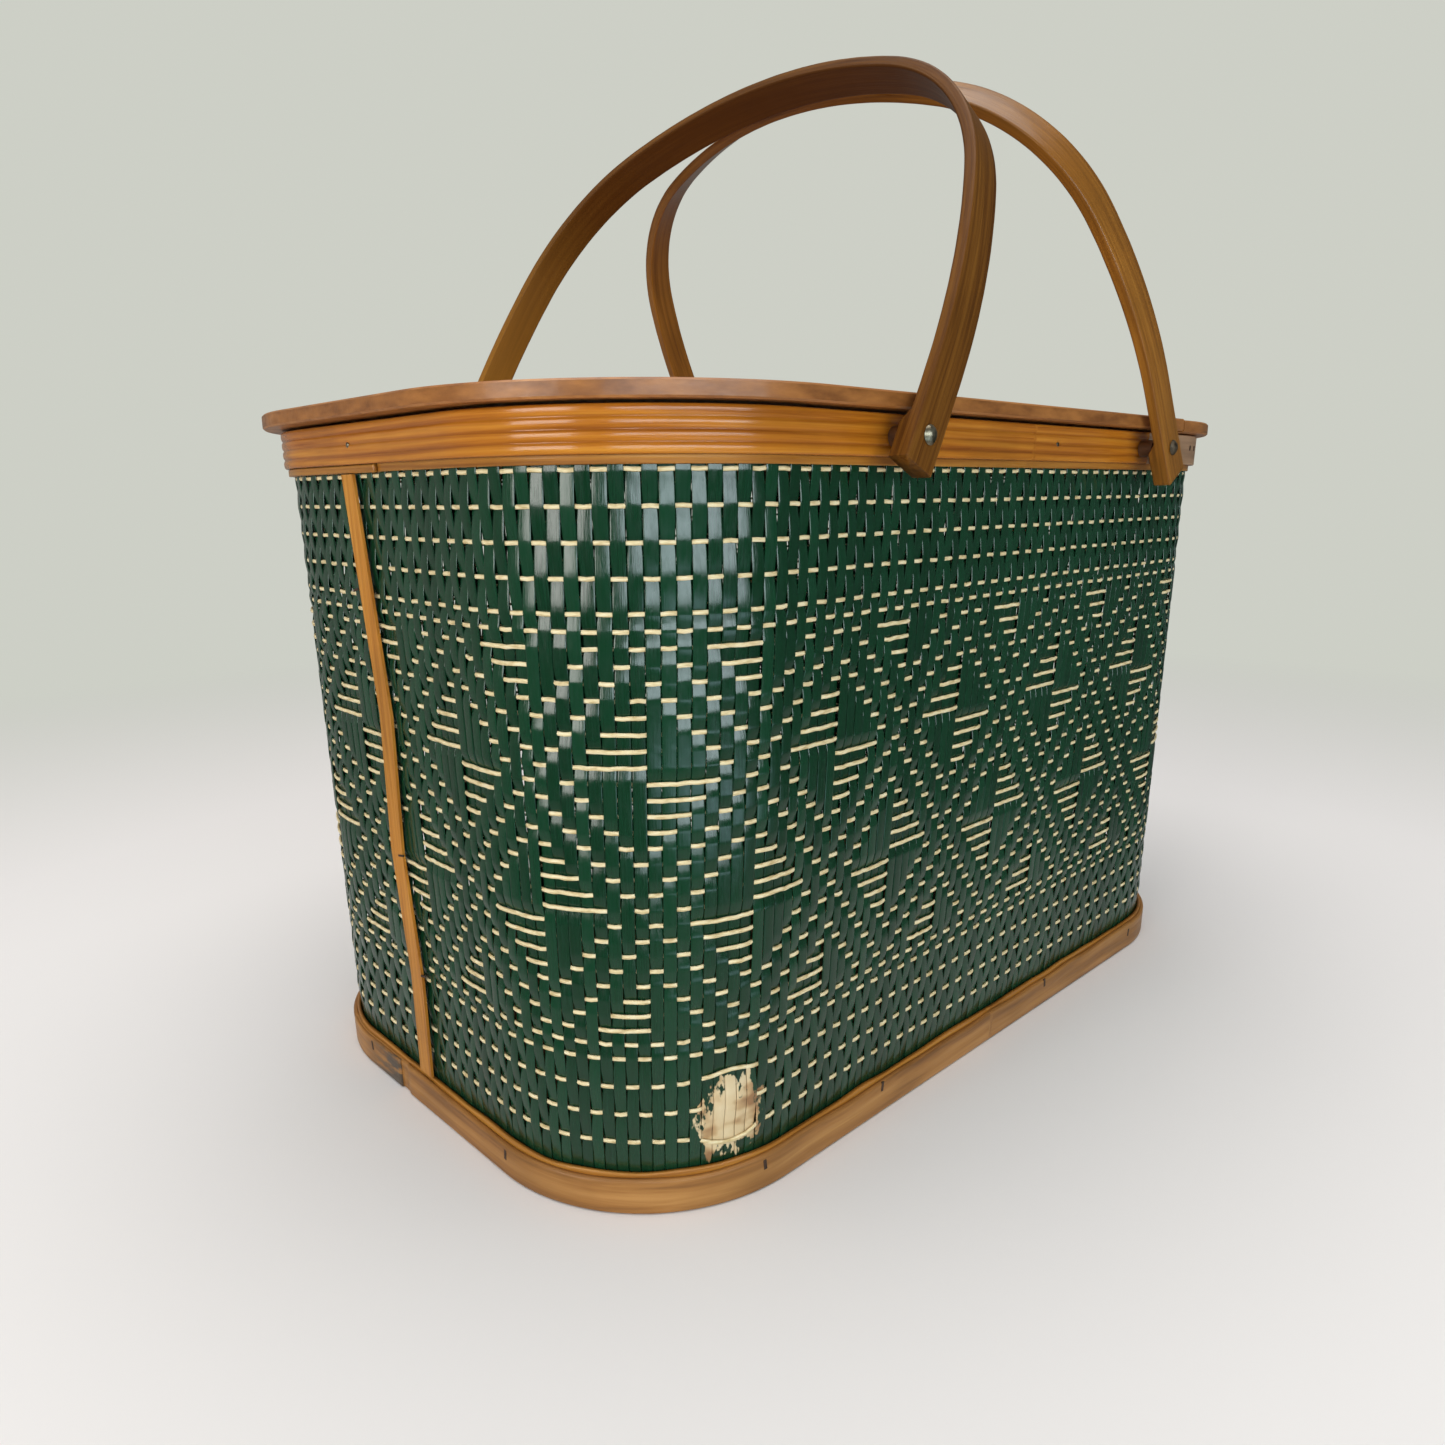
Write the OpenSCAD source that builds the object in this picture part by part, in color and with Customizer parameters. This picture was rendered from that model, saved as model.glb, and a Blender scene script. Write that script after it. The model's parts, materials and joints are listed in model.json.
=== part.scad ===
// Woven splint hamper with a wooden lid and two bentwood swing handles.
// Millimetres, +Z up. The origin is the centre of the base on the floor, +X runs along the length,
// -Y is the front. The wall leans out by the same amount all round, so its corners are cones.

/* [Wall] */
// Length of the wall at the floor, over the faces of the splints
foot_len = 458.2; // [420:1:520]
// Width of the wall at the floor, over the faces of the splints
foot_wid = 273.4; // [240:1:320]
// Corner radius of the wall at the floor
foot_corner_r = 77; // [60:1:90]
// How far the wall leans out over its height, on every side
flare = 7.6; // [4:0.2:12]
// Height of the top edge of the rim bands
rim_top = 298.4; // [280:1:320]

/* [Splints] */
// Number of times that the woven pattern repeats round the wall
repeats = 16; // [15:1:16]
// Width of one splint
splint_w = 4.6; // [3.6:0.1:4.7]
// Thickness of one splint
splint_t = 1.2; // [0.8:0.1:1.4]
// Height of the splints' lower ends over the floor
splint_foot = 1; // [0.5:0.5:3]

/* [Wefts] */
// Height of one weft strand
strand_h = 1.8; // [1.2:0.1:2.2]
// Thickness of one weft strand
strand_t = 1.4; // [0.8:0.1:1.6]
// Depth of the top weft row below the rim strip
first_row_drop = 1.1; // [1:0.1:3]
// Distance between rows in the plain zones
wide_step = 11.8; // [11:0.1:12.2]
// Distance between rows in the patterned zone
close_step = 5.94; // [5.6:0.02:6.2]
// Rows in the upper plain zone
upper_rows = 5; // [4:1:5]
// Rows in the lower plain zone
lower_rows = 3; // [2:1:3]
// Distance from the middle of the front wall to the start of a pattern repeat
pattern_shift = -38.2; // [-42:0.2:42]

/* [Bottom bands] */
// Height of the outer bottom band
bottom_band_h = 15.5; // [12:0.5:20]
// Thickness of the outer bottom band
bottom_band_t = 2; // [1.5:0.1:3]
// How far the inner bottom strip stands over the outer band
bottom_strip_rise = 2; // [1:0.5:3]
// Thickness of the inner bottom strip
bottom_strip_t = 1.6; // [1.2:0.1:2]
// Thickness of the base board
base_board_t = 9; // [6:0.5:12]
// Bevel on the base board's edges
base_bevel = 0.6; // [0.3:0.1:1.5]

/* [Rim] */
// Height of the rim, from the lower edge of its strip to the top
rim_h = 19.2; // [16:0.2:24]
// How far the rim strip shows below the reeded band
rim_strip_show = 3.2; // [2:0.2:5]
// Thickness of the rim strip
rim_strip_t = 1.2; // [1:0.1:1.6]
// Thickness of the reeded band over its beads
reeded_t = 2.6; // [2.2:0.1:3.4]
// Number of beads on the reeded band
bead_count = 4; // [3:1:5]
// Height of the beads over the grooves between them
bead_depth = 1.2; // [0.6:0.1:1.6]
// Thickness of the inner rim band
inner_band_t = 3; // [2:0.2:4]

/* [Lid] */
// How far the lid stands out over the splints at each end
lid_end_overhang = 13.3; // [8:0.1:20]
// How far the lid stands out over the splints at each side
lid_side_overhang = 10.7; // [8:0.1:16]
// Corner radius of the lid
lid_corner_r = 103; // [80:1:110]
// Thickness of the lid board and the flap
lid_t = 6; // [5:0.5:9]
// Bevel on the lid's edges
lid_bevel = 0.7; // [0.3:0.1:1.5]
// Gap between the rim and the fixed lid board
lid_board_gap = 0.9; // [0.3:0.1:0.9]
// Gap between the rim and the flap
flap_gap = 0.3; // [0.3:0.1:0.6]
// Distance of the seam between lid board and flap from the middle
lid_seam_x = 136; // [130:1:150]
// Width of the seam
lid_seam_gap = 0.8; // [0.5:0.1:1.5]

/* [Flap hinges] */
// Distance of each hinge from the centre line
hinge_y = 88; // [60:1:110]
// Length of a hinge along its pin
hinge_len = 38; // [30:1:50]
// Width of one hinge leaf
hinge_leaf_w = 16; // [12:1:20]
// Thickness of a hinge leaf
hinge_leaf_t = 1; // [0.8:0.1:1.4]
// Radius of the hinge knuckle
knuckle_r = 2.1; // [1.9:0.1:2.6]
// Radius of the hinge pin
hinge_pin_r = 1; // [0.8:0.1:1.2]

/* [Handles] */
// Distance of the handle pivots from the middle
pivot_x = 102.8; // [96:0.5:110]
// Height of the handle pivots
pivot_z = 289.8; // [286:0.2:296]
// Gap between the lid's side and the inner face of a handle
handle_side_gap = 3.8; // [1.5:0.1:5]
// Width of the handle strap
strap_w = 17.4; // [14:0.2:20]
// Thickness of the handle strap
strap_t = 5.2; // [5:0.1:7]
// Bevel on the strap's long edges
strap_bevel = 0.9; // [0.4:0.1:1.4]
// How much each face of the strap is set back in the tight shoulder bends
shoulder_thinner = 0.1; // [0.05:0.05:0.3]
// Length of the near handle's feet below the pivot
foot_drop = 12.5; // [10:0.5:16]
// How much longer the far handle's feet are
far_foot_extra = 3.5; // [0:0.5:5]
// Height over the pivot of the thick part of a foot
foot_pad_h = 6.5; // [4:0.5:8]
// Height of the straight leg over its pivot
leg_h = 23.4; // [14:0.2:30]
// How much larger the radius of the leg's long curve is than the shoulder's
leg_curve_extra = 200; // [150:1:260]
// How much larger the radius of the crown is than the shoulder's
crown_extra = 150; // [110:1:170]
// How much longer the far handle's legs are
far_leg_extra = 8.6; // [0:0.2:10]
// Lean of the near handle towards the middle
near_lean = 26.4; // [25:0.2:28]
// Gap between the two crowns where the handles lean on each other
crown_gap = 1.2; // [0.5:0.1:2]
// Radius of a handle rivet
rivet_r = 2; // [1.5:0.1:2.5]
// Radius of a rivet's domed head
rivet_head_r = 3.7; // [3:0.1:5]
// Height of a rivet's domed head
rivet_head_h = 1.9; // [1.2:0.1:2.5]
// Thickness of the washer that a rivet is closed over on the inside
burr_t = 1; // [0.8:0.1:1.5]
// Radius of the wooden spacer between handle and rim
spacer_r = 4; // [3:0.1:5]

/* [Seam strip] */
// Width of the strip that covers the seam of the weave
seam_w = 10; // [8:0.5:12]
// Thickness of the seam strip
seam_t = 1.2; // [0.8:0.1:1.6]
// Where the strip bends: distance from the middle of the end, and share of the strip's height
seam_bends = [[18, 1], [7, 0.63], [10, 0.4], [4, 0.18], [5, 0]];

/* [Clearances] */
// Gap between pieces of the wall that lie on each other
seat_gap = 0.1; // [0.08:0.01:0.2]
// Gap between a moving piece and its neighbour
running_gap = 0.3; // [0.2:0.05:0.6]
// Radial clearance of a pin in its bore
bore_gap = 0.05; // [0.02:0.01:0.1]

/* [Hidden] */
$fn = 96;

wood = "peru";
green = "darkgreen";
straw = "khaki";

// The weaver's chart, one text line per row from the top: "#" is a strand over a splint.
// It repeats after 16 splints and 18 rows.
chart = [".#..####....#..#",
         "..#..###...#..#.",
         "#..#..##..#..#..",
         ".#..#..#.#..#..#",
         "..#..#..#..#..##",
         "...#..#...#..###",
         "....#..#.#..####",
         ".....#..#..#####",
         "#####..#..#.....",
         "####..#.#..#....",
         "###..#...#..#...",
         "##..#..#..#..#..",
         "#..#..#.#..#..#.",
         "..#..#..##..#..#",
         ".#..#...###..#..",
         "#..#....####..#.",
         "..#.....#####..#",
         "#..#####.....#.."];
chart_w = len(chart[0]);
pattern_rows = len(chart) + 7;
// Plain rows at the close step above and below the pattern
close_above = 1;
close_below = 2;

// Corner centres of the wall, the same at every height
centre_x = foot_len / 2 - foot_corner_r;
centre_y = foot_wid / 2 - foot_corner_r;
lean_tan = flare / rim_top;
lean_deg = atan(lean_tan);
mid_r = foot_corner_r + flare / 2;
arc_len = PI / 2 * mid_r;
girth = 4 * centre_x + 4 * centre_y + 4 * arc_len;
columns = repeats * chart_w;
pitch = girth / columns;
// Each wall: start along the girth, length, middle or corner centre, turn, and whether it is curved
walls = [[-centre_x, 2 * centre_x, [0, -centre_y], 0, false],
         [centre_x, arc_len, [centre_x, -centre_y], 0, true],
         [centre_x + arc_len, 2 * centre_y, [centre_x, 0], 90, false],
         [centre_x + arc_len + 2 * centre_y, arc_len, [centre_x, centre_y], 90, true],
         [centre_x + 2 * arc_len + 2 * centre_y, 2 * centre_x, [0, centre_y], 180, false],
         [3 * centre_x + 2 * arc_len + 2 * centre_y, arc_len, [-centre_x, centre_y], 180, true],
         [3 * centre_x + 3 * arc_len + 2 * centre_y, 2 * centre_y, [-centre_x, 0], 270, false],
         [3 * centre_x + 3 * arc_len + 4 * centre_y, arc_len, [-centre_x, -centre_y], 270, true],
         [3 * centre_x + 4 * arc_len + 4 * centre_y, 2 * centre_x, [0, -centre_y], 0, false]];
FRONT = 0;
FRONT_RIGHT = 1;
RIGHT_END = 2;
BACK_RIGHT = 3;
BACK = 4;
BACK_LEFT = 5;
LEFT_END = 6;
FRONT_LEFT = 7;
FRONT_AGAIN = 8;

rim_foot = rim_top - rim_h;
inside_face = -splint_t - seat_gap;
strip_face = seat_gap + rim_strip_t;
reeded_back = strip_face + seat_gap;
reeded_face = reeded_back + reeded_t;
bottom_strip_h = bottom_band_h + bottom_strip_rise;
bottom_band_back = seat_gap + bottom_strip_t + seat_gap;
first_row_z = rim_foot - first_row_drop;
close_rows = close_above + pattern_rows + close_below;
row_count = upper_rows + close_rows + lower_rows;
lid_len = foot_len + 2 * (flare + lid_end_overhang);
lid_wid = foot_wid + 2 * (flare + lid_side_overhang);
lid_board_z = rim_top + lid_board_gap;
flap_z = rim_top + flap_gap;
lid_top = lid_board_z + lid_t;
flap_top = flap_z + lid_t;
hinge_axis_z = lid_top + knuckle_r + seat_gap;
handle_inner_y = lid_wid / 2 + handle_side_gap;
foot_pad_t = handle_side_gap - running_gap;
foot_inner_y = handle_inner_y - foot_pad_t;
rim_face_y = foot_wid / 2 + pivot_z * lean_tan + reeded_face;
rim_inner_y = foot_wid / 2 + pivot_z * lean_tan + inside_face - inner_band_t;
seam_foot = bottom_strip_h + seat_gap;
seam_h = rim_foot - seat_gap - seam_foot;
seam_path = [for (b = seam_bends) [b[0], seam_foot + b[1] * seam_h]];
seam_back = seat_gap + strand_t + seat_gap;

// The handle's arch: a long curve in each leg, two shoulders and a crown, each tangent to the next.
// They meet in the directions of the triangles 24-7-25 and 44-117-125, so the centres and radii
// are short decimals.
leg_turn = [24, 7] / 25;
shoulder_turn = [44, 117] / 125;
leg_curve_deg = atan2(leg_turn[1], leg_turn[0]);
shoulder_deg = atan2(shoulder_turn[1], shoulder_turn[0]);
arch_half = round(10 * (handle_inner_y + strap_t)) / 10;
leg_step = round(leg_curve_extra);
crown_step = round(crown_extra);
shoulder_r = arch_half - crown_step * shoulder_turn[0] - leg_step * (1 - leg_turn[0]);
leg_curve_r = shoulder_r + leg_step;
crown_r = shoulder_r + crown_step;
leg_c = [arch_half - leg_curve_r, leg_h];
shoulder_c = leg_c + leg_step * leg_turn;
crown_c = [0, shoulder_c[1] - crown_step * shoulder_turn[1]];
crown_h = crown_c[1] + crown_r;
near_reach = -pivot_x + crown_h * sin(near_lean) + strap_w / 2 * cos(near_lean);
far_crown_h = crown_h + far_leg_extra;
far_lean = asin((pivot_x - near_reach - crown_gap) / norm([far_crown_h, strap_w / 2]))
           - atan(strap_w / 2 / far_crown_h);

function in_list(v, list) = len([for (k = list) if (k == v) 1]) > 0;

// How far the wall has leaned out at a height
function lean_at(z) = z * lean_tan;

// Height of a weft row, counted from 0 at the top
function row_z(i) =
    let (upper = min(i, upper_rows - 1),
         close = min(max(i - upper_rows + 1, 0), close_rows),
         lower = max(i - upper_rows + 1 - close_rows, 0))
    first_row_z - upper * wide_step - close * close_step - lower * wide_step;

// Whether the strand of row i lies over splint c
function strand_over(i, c) =
    let (r = i - upper_rows - close_above, k = c % chart_w)
    r >= 0 && r < pattern_rows ? chart[r % len(chart)][k] == "#" : (i + k) % 2 == 1;

// Number of splints from c on that a strand crosses in one float
function float_len(i, c, n = 0) = strand_over(i, c + n) ? float_len(i, c, n + 1) : n;

// Distance of the middle of splint c along the girth
function splint_u(c) = pattern_shift + (c + 0.5) * pitch;

// The wall that holds a point of the girth
function wall_of(u) = [for (k = [0 : len(walls) - 1])
                           if (u >= walls[k][0] && u < walls[k][0] + walls[k][1]) k][0];

// Places children at distance u along the girth: x runs along the wall, y points inwards
// and y = 0 is the splints' face at the floor
module on_wall(u) {
    w = walls[wall_of(u)];
    turn = w[4] ? w[3] + (u - w[0]) / mid_r * 180 / PI : w[3];
    along = w[4] ? 0 : u - w[0] - w[1] / 2;
    translate([w[2][0], w[2][1], 0])
        rotate([0, 0, turn])
            translate([along, -foot_corner_r, 0])
                children();
}

// Sweeps a profile round the whole wall: its x counts from the corner centres, its y is the height
module round_wall() {
    for (k = [0 : 3]) {
        w = walls[2 * k + 1];
        translate([w[2][0], w[2][1], 0])
            rotate([0, 0, w[3] - 90])
                rotate_extrude(angle = 90)
                    children();
    }
    for (k = [0 : 3]) {
        w = walls[2 * k];
        translate([w[2][0], w[2][1], 0])
            rotate([0, 0, w[3] - 90])
                translate([0, w[1] / 2, 0])
                    rotate([90, 0, 0])
                        linear_extrude(w[1])
                            children();
    }
}

// A band that follows the lean of the wall: faces at offsets a and b from the splints' face
module leaning_profile(a, b, z_low, z_high) {
    polygon([[foot_corner_r + lean_at(z_low) + a, z_low],
             [foot_corner_r + lean_at(z_low) + b, z_low],
             [foot_corner_r + lean_at(z_high) + b, z_high],
             [foot_corner_r + lean_at(z_high) + a, z_high]]);
}

// One stretch of weft strand from u_a to u_b, its back at offset a from the splints' face
module strand(u_a, u_b, z, a) {
    r = foot_corner_r + lean_at(z) + a;
    for (w = walls) {
        from = max(u_a, w[0]);
        to = min(u_b, w[0] + w[1]);
        if (to > from) {
            if (w[4]) {
                start = w[3] - 90 + (from - w[0]) / mid_r * 180 / PI;
                sweep = (to - from) / mid_r * 180 / PI;
                translate([w[2][0], w[2][1], z - strand_h / 2])
                    rotate([0, 0, start])
                        rotate_extrude(angle = sweep)
                            translate([r, 0])
                                square([strand_t, strand_h]);
            } else {
                translate([w[2][0], w[2][1], z - strand_h / 2])
                    rotate([0, 0, w[3]])
                        translate([from - w[0] - w[1] / 2, -r - strand_t, 0])
                            cube([to - from, strand_t, strand_h]);
            }
        }
    }
}

module splints(wall_list) {
    for (c = [0 : columns - 1])
        if (in_list(wall_of(splint_u(c)), wall_list))
            on_wall(splint_u(c))
                rotate([lean_deg, 0, 0])
                    translate([-splint_w / 2, 0, splint_foot])
                        cube([splint_w, splint_t, rim_top - splint_foot - seat_gap]);
}

// The strands that cross two splints or more in one float, where their middle lies on these walls
module floats(wall_list) {
    for (i = [0 : row_count - 1], c = [0 : columns - 1]) {
        n = strand_over(i, c + columns - 1) ? 0 : float_len(i, c);
        if (n > 1 && in_list(wall_of(splint_u(c + (n - 1) / 2)), wall_list))
            strand(splint_u(c) - splint_w / 2, splint_u(c + n - 1) + splint_w / 2, row_z(i), seat_gap);
    }
}

// The inner side of the weft rows, from row a to row b
module weft_rings(a, b) {
    for (i = [a : b])
        round_wall()
            translate([foot_corner_r + lean_at(row_z(i)) + inside_face - strand_t, row_z(i) - strand_h / 2])
                square([strand_t, strand_h]);
}

// Two holes through both long walls for the handle rivets
module rivet_holes() {
    for (x = [-pivot_x, pivot_x])
        translate([x, lid_wid / 2, pivot_z])
            rotate([90, 0, 0])
                cylinder(r = rivet_r + bore_gap, h = lid_wid);
}

// A flat board with round corners and small bevels on its edges
module board(len, wid, r, t, bevel) {
    x = len / 2 - r;
    y = wid / 2 - r;
    edge = [[0, 0], [r - bevel, 0], [r, bevel], [r, t - bevel], [r - bevel, t], [0, t]];
    for (k = [[x, y, 0], [-x, y, 90], [-x, -y, 180], [x, -y, 270]])
        translate([k[0], k[1], 0])
            rotate([0, 0, k[2]])
                rotate_extrude(angle = 90)
                    polygon(edge);
    for (k = [[x, y, 0, y], [-x, -y, 180, y], [-x, y, 90, x], [x, -y, 270, x]])
        translate([k[0], k[1], 0])
            rotate([0, 0, k[2]])
                rotate([90, 0, 0])
                    linear_extrude(2 * k[3])
                        polygon(edge);
    translate([-x, -y, 0])
        cube([2 * x, 2 * y, t]);
}

module base_board() {
    inset = inside_face - seat_gap;
    color(wood)
        board(foot_len + 2 * inset, foot_wid + 2 * inset, foot_corner_r + inset, base_board_t, base_bevel);
}

module bottom_band() {
    color(wood)
        round_wall()
            leaning_profile(bottom_band_back, bottom_band_back + bottom_band_t, 0, bottom_band_h);
}

module bottom_inner_strip() {
    color(wood)
        round_wall()
            leaning_profile(seat_gap, seat_gap + bottom_strip_t, 0, bottom_strip_h);
}

module splints_front() {
    color(green)
        difference() {
            splints([FRONT, FRONT_AGAIN]);
            rivet_holes();
        }
}

module splints_back() {
    color(green)
        difference() {
            splints([BACK]);
            rivet_holes();
        }
}

module splints_left_end() { color(green) splints([LEFT_END]); }
module splints_right_end() { color(green) splints([RIGHT_END]); }
module splints_corner_front_left() { color(green) splints([FRONT_LEFT]); }
module splints_corner_front_right() { color(green) splints([FRONT_RIGHT]); }
module splints_corner_back_left() { color(green) splints([BACK_LEFT]); }
module splints_corner_back_right() { color(green) splints([BACK_RIGHT]); }

module weft_rings_upper() { color(straw) weft_rings(0, upper_rows - 1); }
module weft_rings_pattern() { color(straw) weft_rings(upper_rows, upper_rows + close_rows - 1); }
module weft_rings_lower() { color(straw) weft_rings(row_count - lower_rows, row_count - 1); }

module floats_front() { color(straw) floats([FRONT, FRONT_AGAIN]); }
module floats_back() { color(straw) floats([BACK]); }
module floats_left_end() { color(straw) floats([LEFT_END]); }
module floats_right_end() { color(straw) floats([RIGHT_END]); }
module floats_corners() { color(straw) floats([FRONT_RIGHT, BACK_RIGHT, BACK_LEFT, FRONT_LEFT]); }

// The strip bends a little on its way down, as the seam below it does
module seam_strip() {
    left = [for (p = seam_path) [-p[0] - seam_w / 2, p[1]]];
    right = [for (k = [len(seam_path) - 1 : -1 : 0]) [-seam_path[k][0] + seam_w / 2, seam_path[k][1]]];
    color(wood)
        on_wall(walls[LEFT_END][0] + centre_y)
            rotate([lean_deg, 0, 0])
                translate([0, -seam_back, 0])
                    rotate([90, 0, 0])
                        linear_extrude(seam_t)
                            polygon(concat(left, right));
}

module rim_inner_band() {
    color(wood)
        difference() {
            round_wall()
                leaning_profile(inside_face - inner_band_t, inside_face, rim_foot + seat_gap, rim_top);
            rivet_holes();
        }
}

module rim_strip() {
    color(wood)
        difference() {
            round_wall()
                leaning_profile(seat_gap, strip_face, rim_foot, rim_top);
            rivet_holes();
        }
}

// A moulding with rounded beads, nailed over the rim strip
module rim_reeded_band() {
    low = rim_foot + rim_strip_show;
    bead_pitch = (rim_top - low) / bead_count;
    bead_r = bead_pitch * 0.6;
    web = reeded_t - bead_depth;
    color(wood)
        difference() {
            round_wall() {
                leaning_profile(reeded_back, reeded_back + web, low, rim_top);
                intersection() {
                    for (k = [0 : bead_count - 1]) {
                        z = low + (k + 0.5) * bead_pitch;
                        translate([foot_corner_r + lean_at(z) + reeded_face - bead_r, z])
                            circle(bead_r);
                    }
                    leaning_profile(reeded_back, reeded_face + 1, low, rim_top);
                }
            }
            rivet_holes();
        }
}

module lid_plate() { board(lid_len, lid_wid, lid_corner_r, lid_t, lid_bevel); }

module lid_board() {
    cut_x = lid_seam_x - lid_seam_gap / 2;
    color("sienna")
        translate([0, 0, lid_board_z])
            difference() {
                lid_plate();
                translate([cut_x, -lid_wid, -1])
                    cube([lid_len, 2 * lid_wid, lid_t + 2]);
            }
}

module lid_flap() {
    cut_x = lid_seam_x + lid_seam_gap / 2;
    color("sienna")
        translate([0, 0, flap_z])
            difference() {
                lid_plate();
                translate([cut_x - 2 * lid_len, -lid_wid, -1])
                    cube([2 * lid_len, 2 * lid_wid, lid_t + 2]);
            }
}

// A leaf's knuckles on its pin, every second one of three, with the tongues that carry them
module knuckles(side, z_face) {
    piece = hinge_len / 3;
    reach = knuckle_r + running_gap + 1;
    for (k = [side < 0 ? 0 : 1 : 2 : 2])
        translate([0, -hinge_len / 2 + k * piece + running_gap / 2, 0]) {
            translate([0, piece - running_gap, 0])
                rotate([90, 0, 0])
                    cylinder(r = knuckle_r, h = piece - running_gap);
            translate([side < 0 ? -reach : 0, 0, z_face - hinge_axis_z])
                cube([reach, piece - running_gap, hinge_leaf_t]);
        }
}

// One leaf of both hinges, on the board (side -1) or on the flap (side 1)
module hinge_leaves(side, z_face) {
    near_edge = knuckle_r + running_gap;
    color("goldenrod")
        for (y = [-hinge_y, hinge_y])
            translate([lid_seam_x, y, hinge_axis_z])
                difference() {
                    union() {
                        knuckles(side, z_face);
                        translate([side < 0 ? -near_edge - hinge_leaf_w : near_edge, -hinge_len / 2,
                                   z_face - hinge_axis_z])
                            cube([hinge_leaf_w, hinge_len, hinge_leaf_t]);
                    }
                    translate([0, hinge_len, 0])
                        rotate([90, 0, 0])
                            cylinder(r = hinge_pin_r + bore_gap, h = 2 * hinge_len);
                }
}

module hinge_leaves_board() { hinge_leaves(-1, lid_top); }
module hinge_leaves_flap() { hinge_leaves(1, flap_top); }

module hinge_pins() {
    color("goldenrod")
        for (y = [-hinge_y, hinge_y])
            translate([lid_seam_x, y + hinge_len / 2, hinge_axis_z])
                rotate([90, 0, 0])
                    cylinder(r = hinge_pin_r, h = hinge_len);
}

// The strap's cross-section: its outer face at x = 0, its width along y
module strap_profile(thinner = 0, thicker = 0) {
    b = strap_bevel;
    h = strap_w / 2 - thinner;
    inner = -strap_t + thinner - thicker;
    outer = -thinner;
    polygon([[outer, -h + b], [outer, h - b], [outer - b, h], [inner + b, h],
             [inner, h - b], [inner, -h + b], [inner + b, -h], [outer - b, -h]]);
}

// One bent length of the strap about a centre
module bend(c, r, start, end, thinner) {
    translate([c[0], c[1], 0])
        rotate([0, 0, start])
            rotate_extrude(angle = end - start)
                translate([r, 0])
                    strap_profile(thinner);
}

// The thick end of a leg: it stands under the lid's edge and slopes off to the strap above
module foot(drop) {
    x = arch_half - strap_t;
    slope = [foot_pad_t, 1.5 * foot_pad_t];
    top = [x, foot_pad_h] + slope / 4;
    low = [x, foot_pad_h] - slope * 5 / 4;
    intersection() {
        translate([arch_half, foot_pad_h, 0])
            rotate([90, 0, 0])
                linear_extrude(foot_pad_h + drop)
                    strap_profile(thicker = foot_pad_t);
        translate([0, 0, -strap_w])
            linear_extrude(2 * strap_w)
                polygon([low, [low[0], -2 * drop], [2 * arch_half, -2 * drop], [2 * arch_half, top[1]], top]);
    }
}

// A handle upright over its pivots. Its shoulders run on a little inside the lengths beside them.
module hoop(leg, drop) {
    lap = 2;
    up = [0, leg - leg_h];
    rotate([90, 0, 90])
        difference() {
            union() {
                for (side = [0, 1])
                    mirror([side, 0, 0]) {
                        translate([arch_half, leg, 0])
                            rotate([90, 0, 0])
                                linear_extrude(leg + drop)
                                    strap_profile();
                        foot(drop);
                        bend(up + leg_c, leg_curve_r, 0, leg_curve_deg, 0);
                        bend(up + shoulder_c, shoulder_r, leg_curve_deg - lap, shoulder_deg + lap,
                             shoulder_thinner);
                    }
                bend(up + crown_c, crown_r, shoulder_deg, 180 - shoulder_deg, 0);
            }
            translate([-lid_wid, 0, 0])
                rotate([0, 90, 0])
                    cylinder(r = rivet_r + bore_gap, h = 2 * lid_wid);
        }
}

module handle_near() {
    color("saddlebrown")
        translate([-pivot_x, 0, pivot_z])
            rotate([0, near_lean, 0])
                hoop(leg_h, foot_drop);
}

module handle_far() {
    color("saddlebrown")
        translate([pivot_x, 0, pivot_z])
            rotate([0, -far_lean, 0])
                hoop(leg_h + far_leg_extra, foot_drop + far_foot_extra);
}

// Rivets on both sides: burr inside the rim, shank, and a domed head over the strap
module rivets(x) {
    burr_back = rim_inner_y - lean_at(rivet_head_r) - seat_gap;
    head_z = arch_half + running_gap;
    dome_r = (rivet_head_r * rivet_head_r + rivet_head_h * rivet_head_h) / (2 * rivet_head_h);
    color("gold")
        for (side = [0, 1])
            mirror([0, side, 0])
                translate([x, 0, pivot_z])
                    rotate([90, 0, 0]) {
                        translate([0, 0, burr_back - burr_t])
                            cylinder(r = rivet_head_r, h = burr_t);
                        translate([0, 0, burr_back - burr_t])
                            cylinder(r = rivet_r, h = head_z - burr_back + burr_t);
                        intersection() {
                            translate([0, 0, head_z + rivet_head_h - dome_r])
                                sphere(dome_r);
                            translate([0, 0, head_z])
                                cylinder(r = rivet_head_r, h = rivet_head_h);
                        }
                    }
}

module spacers(x) {
    back = rim_face_y + lean_at(spacer_r) + seat_gap;
    color("gold")
        for (side = [0, 1])
            mirror([0, side, 0])
                translate([x, -back, pivot_z])
                    rotate([90, 0, 0])
                        difference() {
                            cylinder(r = spacer_r, h = foot_inner_y - running_gap - back);
                            translate([0, 0, -1])
                                cylinder(r = rivet_r + bore_gap, h = handle_inner_y);
                        }
}

module rivets_near() { rivets(-pivot_x); }
module rivets_far() { rivets(pivot_x); }
module spacers_near() { spacers(-pivot_x); }
module spacers_far() { spacers(pivot_x); }

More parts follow.
